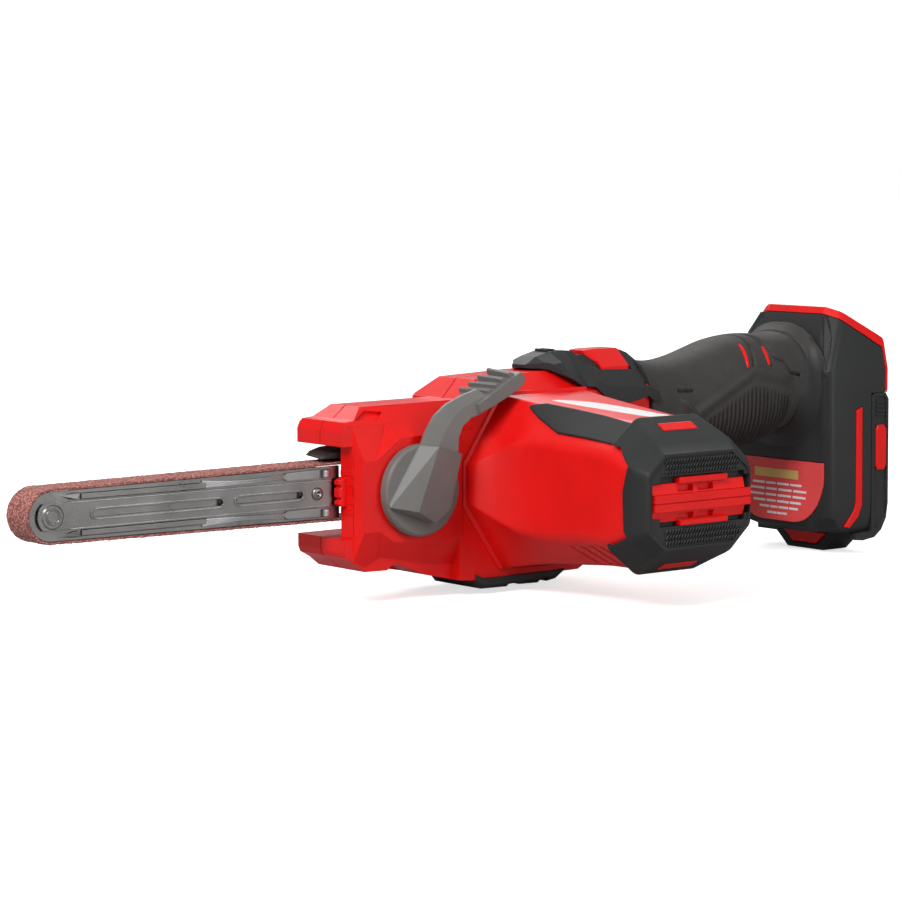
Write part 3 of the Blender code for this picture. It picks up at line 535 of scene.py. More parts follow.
def rib_field(low_z, high_z):
    """Rows of short slanted ribs standing out of the cap's face, alternating like a tread."""
    left, right, rows = -17.4, 16.6, 3
    pitch, width, lean = 1.3, 0.8, 1
    shape = bmesh.new()
    height = (high_z - low_z) / rows
    for row in range(rows):
        z0 = low_z + row * height + 0.1
        z1 = z0 + height - 0.2
        shrink = abs(row - (rows - 1) / 2) * 0.4
        count = int((right - left - shrink * 2) / pitch)
        for i in range(count):
            x = left + shrink + i * pitch + (row % 2) * pitch / 2
            loops = []
            for inset, y in ((0, -CAP_FLOOR), (0.2, -CAP_FLOOR - 0.65)):
                a, b = x + inset * 1.25, x + width - inset * 1.25
                ring = ((a, z0 + inset), (b, z0 + inset), (b + lean, z1 - inset), (a + lean, z1 - inset))
                loops.append([shape.verts.new((px, y, pz)) for px, pz in ring])
            low, top = loops
            shape.faces.new(top)
            shape.faces.new(low[::-1])
            bridge(shape, low, top)
    return shape


def bevel_tab(side, distance, half, out, inner):
    """Small block let into the cap's sloped upper or lower side."""
    top, fall = (25.5, 6.7) if side > 0 else (27.3, 6.1)
    points = []
    for x in (-half, half):
        for step in (0, 3.4):
            for lift in (out, inner):
                z = top - fall * (distance + step - 76.5) / 11.7 + lift
                points.append((x, -(distance + step), side * z))
    return hull(points)


def make_cap():
    tabs = [bevel_tab(side, 80.4, 7.7, 3, -0.8) for side in (1, -1)]
    piece("cap_shell", "black", loft([barrel_ring(row) for row in CAP]), "end_cap",
          cuts=cap_cutters() + tabs, bevel=0.35, angle=20, sharp=30)
    piece("cap_ribs_upper", "black", rib_field(7.9, 13.4))
    piece("cap_ribs_lower", "black", rib_field(-15.6, -9.8))
    for name, side in (("cap_inlay_top", 1), ("cap_inlay_bottom", -1)):
        piece(name + "_tab", "red", bevel_tab(side, 80.5, 7.5, 0.35, -1.5), name, bevel=0.2)
    make_grille()


def make_grille():
    """Louvred intake: a double bar between two slotted louvres, with a tab above and below."""
    bed = -92
    bars = [block((-21.8, 20.9), (-95.7, bed), (-1.25, 1.5)),
            block((-21.8, 20.9), (-95.7, bed), (-4.2, -1.55)),
            block((-21.2, 20.5), (-95.1, bed), (-2, -1.2))]
    louvres = [hull(at_x((-22.2, 18.8), outline)) for outline in (
        ((bed, 1), (-94.9, 1.6), (-93.9, 5), (bed, 5)),
        ((bed, -3.8), (-94.9, -4.2), (-93.9, -7.6), (bed, -7.6)),
    )]
    tabs = [block((-10.6, 10.6), (-95.3, bed), (4.9, 6.9)), block((-10.2, 10.8), (-95.3, bed), (-9.1, -7.4))]
    slots = [block(x_range, (CAP_OUT, -92.6), z_range)
             for z_range in ((2.1, 4.3), (-7, -4.9)) for x_range in ((-11, -4), (-2.2, 5))]
    piece("intake_grille", "red", bars[0], "vent_grille", joins=bars[1:] + louvres + tabs,
          cuts=slots, bevel=0.25, angle=30)
    piece("intake_back", "black", block((-22.4, 21), (-92.4, -91.4), (-9.4, 7.6)))
    clip = hull(at_x((-25, -21), ((-91, -4.6), (-94.2, -4), (-94.2, 1.6), (-91, 2.2))))
    piece("intake_clip", "black", clip, bevel=0.3)


# ---- tension lever
LEVER_AXIS = (-60.2, -0.2)


def make_lever():
    rim = [(-17.8, 0), (-17.8, 15.7), (-20.4, 15.7), (-21.2, 14.9), (-21.2, 0)]
    wedge_back = [(-75, -3.4), (-62.2, 15.4), (-45.4, 11.6), (-45.4, 8), (-49.6, -5.8), (-53.2, -9.8),
                  (-60, -10.8)]
    wedge = hull(flat(wedge_back, -20) + flat(wedge_back, -21.9) + [
        (-57.9, -27, 15), (-66.6, -26.8, -6.6), (-47.1, -25.6, 11.8), (-51.7, -25, -7.1),
        (-57.7, -24.6, -11.2), (-75.4, -22.6, -4.8),
    ])
    # left edge, crease and right edge of the neck from the disc up to the pad
    stations = [((-62.2, 13.6), (-56.9, 13.8), (-48.6, 10.2)), ((-59.3, 19.8), (-53.6, 19.6), (-48, 17.6)),
                ((-55.6, 25), (-50.4, 23.8), (-46.2, 21.2)), ((-50.6, 28.6), (-45.8, 27.2), (-42.6, 23.8)),
                ((-44, 31.2), (-40.6, 29.4), (-38.6, 24.9)), ((-37.6, 33), (-35.6, 31), (-33.8, 27.4))]
    neck = [[(lx, -20.4, lz), (lx, -21.8, lz), (cx, -24.7, cz), (rx, -25.2, rz), (rx, -20.4, rz)]
            for (lx, lz), (cx, cz), (rx, rz) in stations]
    near_outline = [(-40.2, 28.2), (-33.4, 31.2), (-24.6, 36.9), (-22, 38.3), (-20, 36.8), (-20.4, 34),
                    (-27.8, 30), (-34.8, 26.9), (-39.6, 25.2)]
    far_outline = [(-37.6, 31.4), (-30.2, 34), (-21.6, 38.6), (-20.2, 37.6), (-20.4, 35.4), (-30, 32.6),
                   (-37.6, 29.4)]
    pad = hull(flat(near_outline, -26.3) + flat(near_outline, -19)
               + flat(far_outline, -12.4))
    ridges = []
    near_feet = [(-34.2, 31), (-31.4, 32.8), (-28.6, 34.6), (-25.7, 36.4)]
    far_feet = [(-37.4, 31.2), (-33.4, 33), (-29.4, 35.2), (-25.3, 37.3)]
    for (nx, nz), (fx, fz) in zip(near_feet, far_feet):
        points = []
        for x, z, y in ((nx, nz, -25), (fx, fz, -12.4)):
            for along, across in ((-0.6, -1.2), (2.5, -1.2), (2.2, 0.5), (1.1, 1.75), (0.2, 1.65)):
                points.append((x + along * 0.84 - across * 0.54, y, z + along * 0.54 + across * 0.84))
        ridges.append(hull(points))
    deck = hull(at_x((-31.5, -10), ((-8, 20), (-8, 37.7), (-22, 25.8), (-22, 20))))
    piece("lever_grey", "lever", turned(rim, LEVER_AXIS, 96), "tension_lever", body="lever",
          joins=[wedge, loft(neck), pad] + ridges, cuts=[deck], bevel=0.45, angle=20, sharp=26)


# ---- grip and neck
# x, middle height, half-height, half-width
HANDLE = [
    (46, 19.8, 19.6, 18.2), (52, 19, 18.8, 17.4), (62, 19.1, 18.1, 17.2), (73, 20.3, 18.5, 17.9),
    (83, 21.8, 19.7, 18.8), (90, 22.9, 20.6, 19.4), (97, 23.7, 21, 19.8), (104, 24.8, 20.4, 19.6),
    (112, 26, 18.9, 19.2), (120, 26.8, 18.2, 19.4), (123.5, 27, 19.4, 20.4), (126.6, 26.6, 22, 22.6),
]
SQUARENESS = 2.4


def squared(angle, power):
    """Point of a circle pushed towards a square as the power falls."""
    c, s = cos(angle), sin(angle)
    return copysign(abs(c) ** power, c), copysign(abs(s) ** power, s)


def ease(value, low, high):
    t = min(1, max(0, (value - low) / (high - low)))
    return t * t * (3 - 2 * t)


def groove(distance, half_width):
    """1 in the middle of a narrow groove, falling to 0 at its edges."""
    return 1 - ease(abs(distance), half_width * 0.4, half_width)


def wedge_line(x):
    """Upper edge of the raised finger wedge on the grip's side."""
    if x < 66.7:
        return 19.8 + (66.7 - x) * 0.75
    if x < 94:
        return 19.8 + (x - 66.7) * 0.512
    return 33.8 - (x - 94) * 0.2


SEAMS = [
    [(99.6, 47), (98.5, 43), (97.2, 39.3), (95.6, 33.4)],
    [(103.9, 47), (103.8, 42), (104.2, 37), (104.6, 34)],
    [(105.9, 47), (105.8, 42.4), (106.4, 37.1), (111, 35.4), (113.4, 30.9), (118, 30)],
    [(60, 26.9), (66.6, 26.6)],
]
COLLAR_SEAM_X = 121.6


def off_line(x, z, line):
    """Distance from a point to a broken line in the side view."""
    spot = Vector((x, z))
    best = 99
    for a, b in zip(line, line[1:]):
        a, b = Vector(a), Vector(b)
        share = min(1, max(0, (spot - a).dot(b - a) / (b - a).length_squared))
        best = min(best, (spot - a - (b - a) * share).length)
    return best


def grip_relief(x, z, angle):
    """How far the grip's surface stands proud at a point, in millimetres."""
    side = abs(cos(angle))
    relief = -0.9 * groove(x - COLLAR_SEAM_X, 0.6)
    if 60 < x < 116:
        lip = ease(wedge_line(x) - z, -0.3, 0.4) * ease(x, 60, 62.5) * (1 - ease(x, 106, 116))
        sunk = ease(wedge_line(x) - z, 1.2, 5)
        relief += (2.1 * lip - 1.1 * sunk * lip) * ease(side, 0.3, 0.6)
        below = ease(wedge_line(x) - 6.5 - z, 0, 1.5)
        fade = ease(x, 68, 72) * (1 - ease(x, 112, 115))
        relief += below * fade * 0.6 * (sin(tau * x / 1.9) - 0.7)
    if side > 0.1 or z > 0:
        for line in SEAMS:
            relief -= 1.25 * groove(off_line(x, z, line), 0.65)
    return relief


@cache
def handle_at(x):
    """Middle height, half-height and half-width of the handle at x."""
    return min(HANDLE_ROWS, key=lambda row: abs(row[0] - x))[1:]


def grip_point(x, angle, lift=0):
    """Point of the handle's surface, or lifted off its plain shape without the relief."""
    middle, half_height, half_width = handle_at(x)
    y, z = squared(angle, 2 / SQUARENESS)
    out = lift or grip_relief(x, middle + z * half_height, angle)
    return x, y * (half_width + out), middle + z * (half_height + out)


HANDLE_ROWS = spline(HANDLE, 0.1)


def make_grip():
    count = 240
    stations = [46 + 0.38 * i for i in range(213)]
    rings = [[grip_point(x, tau * (i + 0.5) / count) for i in range(count)] for x in stations]
    split = next(i for i, x in enumerate(stations) if x > 98.5)
    front, rear = loft(rings[: split + 1]), loft(rings[split:])
    piece("grip_sleeve", "grip", front, "grip_overmould_near grip_overmould_far", sharp=70)
    piece("neck_sleeve", "grip", rear, sharp=70)
    # upper and lower x, upper and lower angle above the horizontal
    slits = ((94.4, 92.7, 60, 26.5), (103.3, 102.9, 49, 24))
    for number, (start_x, end_x, high, low) in enumerate(slits, 1):
        for side, tag in SIDES:
            strip = []
            for k in range(9):
                share = k / 8
                x = start_x + (end_x - start_x) * share
                turn = radians(high + (low - high) * share)
                width = 0.75 * sin(pi * (0.12 + 0.76 * share)) ** 0.5
                strip.append([
                    grip_point(x + width * dx, pi - turn if side < 0 else turn, lift)
                    for dx, lift in ((-1, -0.8), (1, -0.8), (1, 0.12), (0.5, 0.3), (-0.5, 0.3), (-1, 0.12))
                ])
            piece(f"ring_slit_{number}_{tag}", "red", loft(strip), sharp=50)


# ---- foot and pack
# height, front x, its half-width, shoulder x, half-width
FOOT = [
    (-30.5, 130.5, 12, 139, 24.2), (-28.2, 127.4, 17.5, 132, 25.6), (-24, 125.4, 22, 128.4, 26.4),
    (-18, 125, 24, 127.6, 26.5), (31, 125, 24.2, 127, 26.5), (44, 129, 18.4, 133, 23.6),
    (54.5, 134.2, 14.6, 138.6, 20),
]
ROOF = [(120, 51.8), (133, 51.8), (143.2, 45.6), (155, 38.6), (155, 22.4), (165, 22.4)]


def foot_skin(grow=0):
    rings = []
    for z, front, front_half, shoulder, half in FOOT:
        outline = [(front - grow, front_half), (shoulder, half + grow), (157.2, half + grow)]
        outline += [(x, -y) for x, y in outline[::-1]]
        rings.append([(x, y, z) for x, y in soften(outline, 1.6, 4)])
    return loft(rings)


def make_foot():
    cuts = [prism_y(ROOF + [(165, 90), (120, 90)], -BEYOND, BEYOND),
            block((148, 170), (-BEYOND, BEYOND), (-60, 22.1)), block((138.6, 153), (-24, 24), (-60, 36)),
            block((127.5, 139.3), (-22, 22), (-19, 30)), prism_x(panel_outline(0.25), 124, 126.1)]
    cuts += [side_prism(strip_outline(0.25), side, 28, 25.6) for side in (-1, 1)]
    fin = [(125.2, -24.4, 29), (126.4, -25.6, 29), (124.6, -24.6, 31), (132.6, -15.4, 51.4),
           (134.6, -17.2, 51.4), (132.2, -17.4, 51.4), (128.6, -20.4, 42), (130.6, -22.4, 44),
           (136, -16, 50), (128, -22, 31)]
    fins = [hull([(x, -side * y, z) for x, y, z in fin]) for side in (-1, 1)]
    piece("foot_housing", "black", foot_skin(), "body_shell_near body_shell_far", joins=fins,
          cuts=cuts, bevel=0.5, angle=24, sharp=24)
    flare = []
    for x, grow in ((118, -0.4), (120.5, 0.1), (122.5, 1.2), (124, 2.9), (125.2, 5.2), (126, 8)):
        ring = []
        for i in range(72):
            y, z = squared(tau * (i + 0.5) / 72, 0.8)
            half_height = 18.4 + grow * (1.3 if z < 0 else 0.25)
            ring.append((x, y * (19.4 + grow * 0.75), 26 + z * half_height))
        flare.append(ring)
    trim = block((110, 130), (-BEYOND, BEYOND), (49.6, 80))
    piece("neck_flare", "black", loft(flare), cuts=[trim], sharp=50)

    band = [(120, 52), (133.1, 52), (143.3, 45.9), (155.3, 38.9), (155.3, 22.6), (165, 22.6), (165, -60),
            (120, -60)]
    over = [(100, 90), (100, 54.6), (134.5, 54.6), (144, 49.2), (155.8, 42.6), (157.3, 40.4), (170, 40.4),
            (170, 90)]
    piece("foot_roof_band", "red", foot_skin(0.15), "foot_roof_bumper", bevel=0.45, angle=24,
          cuts=[prism_y(outline, -BEYOND, BEYOND) for outline in (band, over)])
    make_label()
    for side, tag in SIDES:
        piece(f"foot_strip_{tag}_trim", "red", side_prism(strip_outline(), side, 25.6, 26.75),
              f"foot_strip_{tag}", bevel=0.3)
    make_pack()


def make_label():
    """Plain panel with a blank heading and rows of dashes where the real one has words."""
    panel = prism_x(panel_outline(), 124.9, 126.3)
    piece("foot_label_panel", "label", panel, "foot_front_panel", bevel=0.25)
    plate = [(-11.2, -7), (12.4, -7), (12.4, -10.4), (-11.2, -10.4)]
    piece("label_heading", "amber", prism_x(plate, 124.78, 125), bevel=0.05)
    spans = ((-13, 13.4), (-15.6, 14.6), (-15.2, 14.8), (-12.8, 13), (-11.2, 9.6), (-5.2, 5.4))
    dashes = ((0, 0.23), (0.26, 0.5), (0.53, 0.72), (0.75, 1))
    for row, (y0, y1) in enumerate(spans):
        z = -12.2 - row * 2.25
        rule = []
        for shares in dashes:
            a, b = (y0 + (y1 - y0) * share for share in shares)
            rule.append(prism_x([(a, z), (b, z), (b, z - 0.85), (a, z - 0.85)], 124.8, 125))
        piece(f"label_rule_{row + 1}", "white", rule[0], joins=rule[1:])


def panel_outline(grow=0):
    """U-shaped front panel in (y, z)."""
    points = [(24.2 + grow, -3.2 + grow), (24.2 + grow, -9)]
    for i in range(1, 13):
        angle = radians(7.5 * i)
        points.append((8 + (16.2 + grow) * cos(angle), -9 - (17.6 + grow) * sin(angle)))
    return mirrored(points)


def strip_outline(grow=0):
    return [(140 - grow, 16 + grow), (143.2 + grow, 17.2 + grow), (143.4 + grow, -20),
            (141.4 + grow, -24.2), (136.6, -28.2 - grow), (134.2 - grow, -27.6),
            (139.2 - grow, -21.4), (140 - grow, -18)]


def make_pack():
    side_view = [(148.3, 21), (149.6, 22), (155.4, 22), (157.1, 19.6), (157.1, -20), (156.2, -25.6),
                 (153.6, -30), (150, -32.6), (144, -33.4), (140, -33), (140, -30.6), (148.3, -30.2)]
    strap = prism_y(side_view, -26.6, 26.6)
    core = block((139.8, 150), (-23.6, 23.6), (-31.5, 21))
    chin = [(-18, -31), (-9.6, -38.5), (9.6, -38.5), (18, -31)]
    recess = [(150, 20.6), (155, 20.6), (155.9, 18.8), (155.9, -24), (153, -28.6), (150, -29.6)]
    bed = [(149.9, -7), (156.1, -7), (156.1, 9.6), (149.9, 9.6)]
    cuts = [side_prism(outline, side, 27.6, floor)
            for side in (-1, 1) for outline, floor in ((recess, 26.05), (bed, 25.3))]
    cuts.append(prism_x([(-12, -31.4), (-6.3, -36.6), (6.3, -36.6), (12, -31.4)], 138, 144.6))
    piece("pack_housing", "black", core, "battery_case", joins=[strap, prism_x(chin, 139.8, 152)],
          cuts=cuts, bevel=0.4, angle=24, body="pack")
    button = [(-11.4, -31.8), (-6, -36.2), (6, -36.2), (11.4, -31.8)]
    piece("pack_release", "red", prism_x(button, 139, 142.6), "release_button", bevel=0.3, body="release")
    pad = [(150.3, -5.4), (151.3, -7.2), (154.8, -7.2), (155.8, -5.4),
           (155.8, 8), (154.8, 9.8), (151.3, 9.8), (150.3, 8)]
    for side, tag in SIDES:
        piece(f"pack_pad_{tag}_trim", "red", side_prism(pad, side, 25.2, 26.9), f"pack_pad_{tag}",
              bevel=0.35, body="pack")
        for i in range(4):
            z = 18.6 - i * 1.6
            rib = [(150.6, z - 0.5), (155.4, z - 0.5), (155.4, z + 0.2), (150.6, z + 0.2)]
            piece(f"pack_rib_{tag}_{i + 1}", "black", side_prism(rib, side, 25.8, 26.5), body="pack")


# ---- top cover and switch
def cover_ring(x, crown, shoulder, skirt=20):
    """Section of the cover: crown height, shoulder height and skirt height at x."""
    half = [(4, crown), (11.6, shoulder), (17.4, shoulder - 5.6), (19.2, skirt + 6), (19.2, skirt)]
    return at_x([x], mirrored(half))


def make_cover():
    rows = ((-1.6, 38.6, 36.4), (3, 41.4, 38.4), (9, 42.9, 39.4), (16.5, 43, 35.8), (20.4, 42.6, 38.2),
            (26.4, 42.5, 35.9), (42, 42.2, 35.2), (45.4, 41, 34.8, 18), (49.5, 38.2, 32.6, 16))
    below = [(-10, 37.2), (-1.4, 37.4), (4, 37), (9.6, 33.6), (13.4, 31), (19.2, 30.6), (25.4, 25),
             (29.3, 23.4), (43.5, 26.2), (46, 24), (60, 24), (60, 0), (-10, 0)]
    inner = [(7.8, 37.3), (16.8, 30), (16.8, 0), (-16.8, 0), (-16.8, 30), (-7.8, 37.3)]
    swept = [(-12, 3.6), (-1.2, 3.6), (5.4, 11.6), (11, 20), (11, 30), (-12, 30)]
    cuts = [prism_y(below, -BEYOND, BEYOND), prism_x(inner, -10, 45.6),
            block((45, 60), (-16.5, 16.5), (0, 36)),
            loft([button_ring(x, -1.2, 11.4, 40) for x in (20, 41.8)])]
    cuts += [prism_z([(x, side * y) for x, y in swept], 0, 60) for side in (-1, 1)]
    piece("switch_cover", "black", loft([cover_ring(*row) for row in rows]), "top_cover", cuts=cuts,
          bevel=0.5, angle=16, sharp=24)
    slider = loft([button_ring(28.2, -1, 10.2, 0.2), button_ring(28.9, -1, 10.8, 0.55),
                   button_ring(40.4, -1, 10.8, 0.55), button_ring(41.2, -1, 10.2, 0.2)])
    lead = [(25.2, y, z) for y in (-4, 4) for z in (41.2, 42.5)]
    lead += [(28.6, y, z) for y in (-8.4, 8.4, -4, 4) for z in (37.6, 38.3)]
    lead += [(28.6, -4, 42.8), (28.6, 4, 42.8)]
    grips = [prism_y([(x, 44), (x + 0.6, 42.1), (x + 1.2, 44)], -3.2, 3.2) for x in (30.6, 32.4, 34.2, 36)]
    piece("switch_slider", "red", slider, "switch_button", joins=[hull(lead)], cuts=grips, bevel=0.35,
          angle=20, body="switch")
    ribs = [block((x, x + 1.2), (-3.4, 3.4), (42, 43.7)) for x in (8.6, 11)]
    piece("cover_index", "black", ribs[0], joins=ribs[1:], bevel=0.25)


def button_ring(x, low, half_width, high):
    """Section of the slider, which follows the cover's crown from low under it to high over it."""
    edge_z = 42.3 - 0.9 * (half_width - 4)
    half = [(4, 42.3 + high), (half_width, edge_z + high), (half_width, edge_z + low), (4, 42.3 + low)]
    return at_x([x], mirrored(half))


# ---- head
SEAM = 0.22
JAW_HALF, SIDE_HALF = 13.3, 17
OPENING = 15.6
HEAD_TOP = [(-88, 20.5), (-86.5, 23.8), (-82.5, 24.2), (-77.5, 28.3), (-35.6, 28.6),
            (-29.3, 35.3), (-1.5, 36.6), (20, 36.6), (40, 36), (45, 34)]
HEAD_BOTTOM = [(45, 3), (29, -24), (11.5, -33.6), (-30, -34), (-42, -33), (-54, -30.2), (-65.5, -25.6),
               (-68, -26), (-70, -27.4), (-79.5, -27.2), (-83.5, -24), (-87.2, -22), (-88, -20)]
JAW_STEP = [(-65.5, -25.6), (-68, -26)]
HEAD_REAR = [(-41.5, 28.56)] + HEAD_TOP[4:] + HEAD_BOTTOM[:4] + [(-41.5, -33.05)]
CAVITY = [(-95, OPENING), (-61.6, OPENING), (-58, 22), (-33, 22), (-27.6, 31.6),
          (0, 33.6), (38, 33.4), (42.6, 31.6), (42.6, 4), (27.5, -22), (10.5, -31.2),
          (-30, -31.6), (-41, -30.6), (-53, -27.2), (-58, -23), (-61.6, -OPENING), (-95, -OPENING)]


def jaw_ridge():
    """Steep pillar in front of the lever's disc, and the flat that carries the disc."""
    face, edge, base = -17.4, -13.3, -12.4
    pillar_face = [(-82.4, 11.1), (-77.4, 10.7), (-75.9, -13.4), (-82.5, -13.5)]
    pillar_base = [(-84.2, 21.9), (-70.8, 22.4), (-74.2, -23.3), (-79.3, -25.6), (-84.2, -23.4)]
    seat_face = [(-67.2, 17.7), (-54.4, 17.5), (-44, 19), (-40.6, 16), (-40.6, -17), (-47, -19.5),
                 (-70.1, -17.3), (-75.9, -13.4), (-77.4, 10.7)]
    seat_base = [(-70.5, 22.2), (-50, 22.6), (-41, 24), (-41, -27.5), (-50, -27), (-74.3, -22.5),
                 (-80, -13), (-80, 11)]
    return [hull(flat(pillar_face, face) + flat(pillar_base, edge) + flat(pillar_base, base)),
            hull(flat(seat_face, face) + flat(seat_base, base) + flat(seat_base, edge))]


def make_head():
    wedge = [(8, 37), (30, 18.3), (30, 60), (8, 60)]
    shoulder = [(7.6, 28.9), (18.2, 17.2), (18.2, 60), (7.6, 60)]
    open_rear = [(-34, 14), (-28.3, 27), (0, 30), (42.6, 30), (42.6, 4),
                 (27.5, -22), (10.5, -31.2), (-30, -31.6), (-34, -30.6)]
    pocket = ((-82, 11.85, 24.2), (-76.3, 9.3, 27), (-69.3, 9.95, 26.3), (-74.1, 12.9, 23))
    for side, tag in SIDES:
        outline = HEAD_TOP + HEAD_BOTTOM
        cuts = [side_prism(CAVITY, side, -1, 11.1),
                prism_x([(side * y, z) for y, z in wedge], -41.6, 60),
                prism_x([(side * y, z) for y, z in shoulder], -100, -35.8),
                side_prism(open_rear, side, 10.1, 14.8 if side < 0 else 12.8)]
        joins = [side_prism(HEAD_REAR, side, 12, SIDE_HALF)]
        if side < 0:
            joins += jaw_ridge()
            corners = [(x, -y - dy, z + dz) for x, y, z in pocket for dy, dz in ((-0.9, -0.8), (1.5, 1.4))]
            cuts += [hull(corners), block((-95, -84), (-30, 1), (-OPENING, OPENING)),
                     pin(-30, -5, 24), pin(-30, -5, 5.3, LEVER_AXIS)]
        else:
            # no step under the front screw, which keeps metal round the screw's pocket
            outline = [spot for spot in outline if spot not in JAW_STEP]
            cuts.append(block((-95, -62), (-1, 30), (-OPENING, OPENING)))
            for x, z, seat in ((-70, 21.5, 9), (-70, -22, 9), (-20, -26, 13), (30, 20, 13)):
                cuts += [pin(-5, 30, 1.8, (x, z)), pin(seat, 30, 3.25, (x, z))]
        piece(f"head_{tag}", "red", side_prism(outline, side, SEAM, JAW_HALF),
              f"head_shell_{tag}", joins=joins, cuts=cuts, bevel=0.45, angle=14, sharp=16)
    wall = prism_z([(-85.1, -7.8), (-84.2, -13.45), (-79, -13.4), (-79, -7.8)], -16.6, 16.6)
    step = ((-85.3, -7.8), (-84.35, -13.4), (-84, -13.4), (-84.5, -7.8))
    steps = [hull([(x, y, z + dz) for x, y in step for dz in (0, 2)]) for z in (-7.4, -3.9, 2.1, 5.6)]
    piece("jaw_inner_wall", "red", wall, joins=steps, bevel=0.2)
    guide = hull([(x, y, z) for x, half in ((-87.8, 4), (-86.4, 4.8), (-68, 4.8))
                  for y in (-10.6, -7.5) for z in (-half, half)])
    notches = [block((-90, -86.9), (-12, -6), (z, z + 1)) for z in (-2.6, 1.6)]
    piece("arm_guide_block", "red", guide, "arm_guide", cuts=notches, bevel=0.3)
    lip = [(-91.4, -5.6, 11.1), (-91.2, -5.6, 11.5), (-88.6, -6.2, 12.5), (-88, 8.6, 11.4),
           (-86.5, 8.6, 12.8)]
    for y in (-6.4, 9):
        lip += [(-82, y, 11.4), (-82, y, 13.9), (-64, y, 11.6), (-64, y, 15.2)]
    piece("belt_deflector_lip", "black", hull(lip), "belt_deflector", bevel=0.3)
    make_bumper()


def make_bumper():
    """Skid under the head: narrow nose, widening to full width, with two shallow notches."""
    stations = [(-43, 15, -26.4, -27.6), (-40.5, 15.4, -27.6, -30.6), (-37, 16.6, -30, -33.6),
                (-32, 18.3, -33, -36.8), (-20.6, 18.3, -33, -37),
                (-19.4, 18.1, -33, -36.3), (-16.2, 18.1, -33, -36.1), (-15, 18.3, -33, -36.7),
                (-6.6, 18.3, -33, -36.9), (-5.6, 18.1, -33, -36.2), (-3.6, 18.1, -33, -36.2),
                (-2.6, 18.3, -33, -36.7), (1.6, 18, -33, -36.2), (5.6, 17.2, -32.4, -33.6)]
    rings = []
    for x, half, top, low in stations:
        edge = min(1.4, (top - low) * 0.4)
        far = max(4, min(half, (x + 46) * 0.8))
        section = ((-half, top), (-half, low + edge), (1.8 - half, low),
                   (far - 1.8, low), (far, low + edge), (far, top))
        rings.append(at_x([x], section))
    under = [(x, z - 0.3) for x, z in HEAD_BOTTOM] + [(-88, BEYOND), (46, BEYOND)]
    cuts = [prism_y(under, -SIDE_HALF - 0.3, SIDE_HALF + 0.3)]
    piece("skid_bumper", "black", loft(rings), "bottom_bumper", cuts=cuts, bevel=0.4, angle=24)


# ---- belt and arm
TIP_X, TIP_RADIUS, WHEEL_RADIUS = -197, 7.8, 9.6
BELT_GAP, BELT_HALF, BELT_THICK = 0.3, 6.5, 1


def loop_outline(spacing):
    """Even points round the tip roller and the drive wheel, with their outward directions."""
    tip, wheel = TIP_RADIUS + BELT_GAP, WHEEL_RADIUS + BELT_GAP
    lean = asin((wheel - tip) / -TIP_X)
    points = []
    straight = -TIP_X * cos(lean)
    for centre, radius, start, end in ((0, wheel, -pi / 2 - lean, pi / 2 + lean),
                                       (TIP_X, tip, pi / 2 + lean, 3 * pi / 2 - lean)):
        count = max(8, round(radius * (end - start) / spacing))
        for i in range(count):
            angle = start + (end - start) * i / count
            c, s = cos(angle), sin(angle)
            points.append((centre + radius * c, radius * s, c, s))
        c, s = cos(end), sin(end)
        run = round(straight / spacing)
        for i in range(run):
            step = straight * i / run
            points.append((centre + radius * c - s * step, radius * s + c * step, c, s))
    return points


def make_belt():
    """Cloth-backed loop whose outside is really gritty: every point is pushed in or out."""
    outline = loop_outline(0.55)
    across = [-BELT_HALF + 0.565 * i for i in range(24)]
    shape = bmesh.new()
    rings = []
    for x, z, dx, dz in outline:
        ring = [shape.verts.new((x, -BELT_HALF + 0.05, z))]
        for y in across:
            spot = Vector((x, y, z))
            lift = BELT_THICK - 0.12 + 0.2 * noise.noise(spot * 1.25) + 0.1 * noise.noise(spot * 3.1)
            if y in (across[0], across[-1]):
                lift -= 0.25
            ring.append(shape.verts.new((x + dx * lift, y, z + dz * lift)))
        ring.append(shape.verts.new((x, BELT_HALF - 0.05, z)))
        rings.append(ring)
    for low, high in zip(rings, rings[1:] + rings[:1]):
        bridge(shape, low, high)
    piece("abrasive_belt", "belt", shape, "sanding_belt", sharp=50)


def loop_inside(x, clearance):
    """Half-height inside the belt at x, less a clearance."""
    tip, wheel = TIP_RADIUS + BELT_GAP, WHEEL_RADIUS + BELT_GAP
    return tip + (wheel - tip) * (x - TIP_X) / -TIP_X - clearance


def tongue(half_height, tip_radius, rear_x):
    """Plate outline in (x, z) with a round tip."""
    start = asin(min(1, half_height / tip_radius))
    points = []
    for i in range(25):
        angle = pi - start + 2 * start * i / 24
        points.append((TIP_X + tip_radius * cos(angle), tip_radius * sin(angle)))
    return points + [(rear_x, -half_height), (rear_x, half_height)]


def pills(spans, radius, low, high):
    """Prisms with round ends from low to high in y; each span is a start and an end in x."""
    shapes = []
    for start, end in spans:
        outline = []
        for centre, turn in ((end - radius, -pi / 2), (start + radius, pi / 2)):
            for i in range(9):
                angle = turn + pi * i / 8
                outline.append((centre + radius * cos(angle), radius * sin(angle)))
        shapes.append(prism_y(outline, low, high))
    return shapes


def rivet_holes():
    return [pin(-9, 9, 1.9, TIP), pin(-9, 9, 1.5, REAR_RIVET)]


ARM_SLOTS = ((-182.3, -132.5), (-127.1, -100.4))
TIP, REAR_RIVET = (TIP_X, 0), (-94.4, 0)
arm_piece = partial(piece, body="arm")


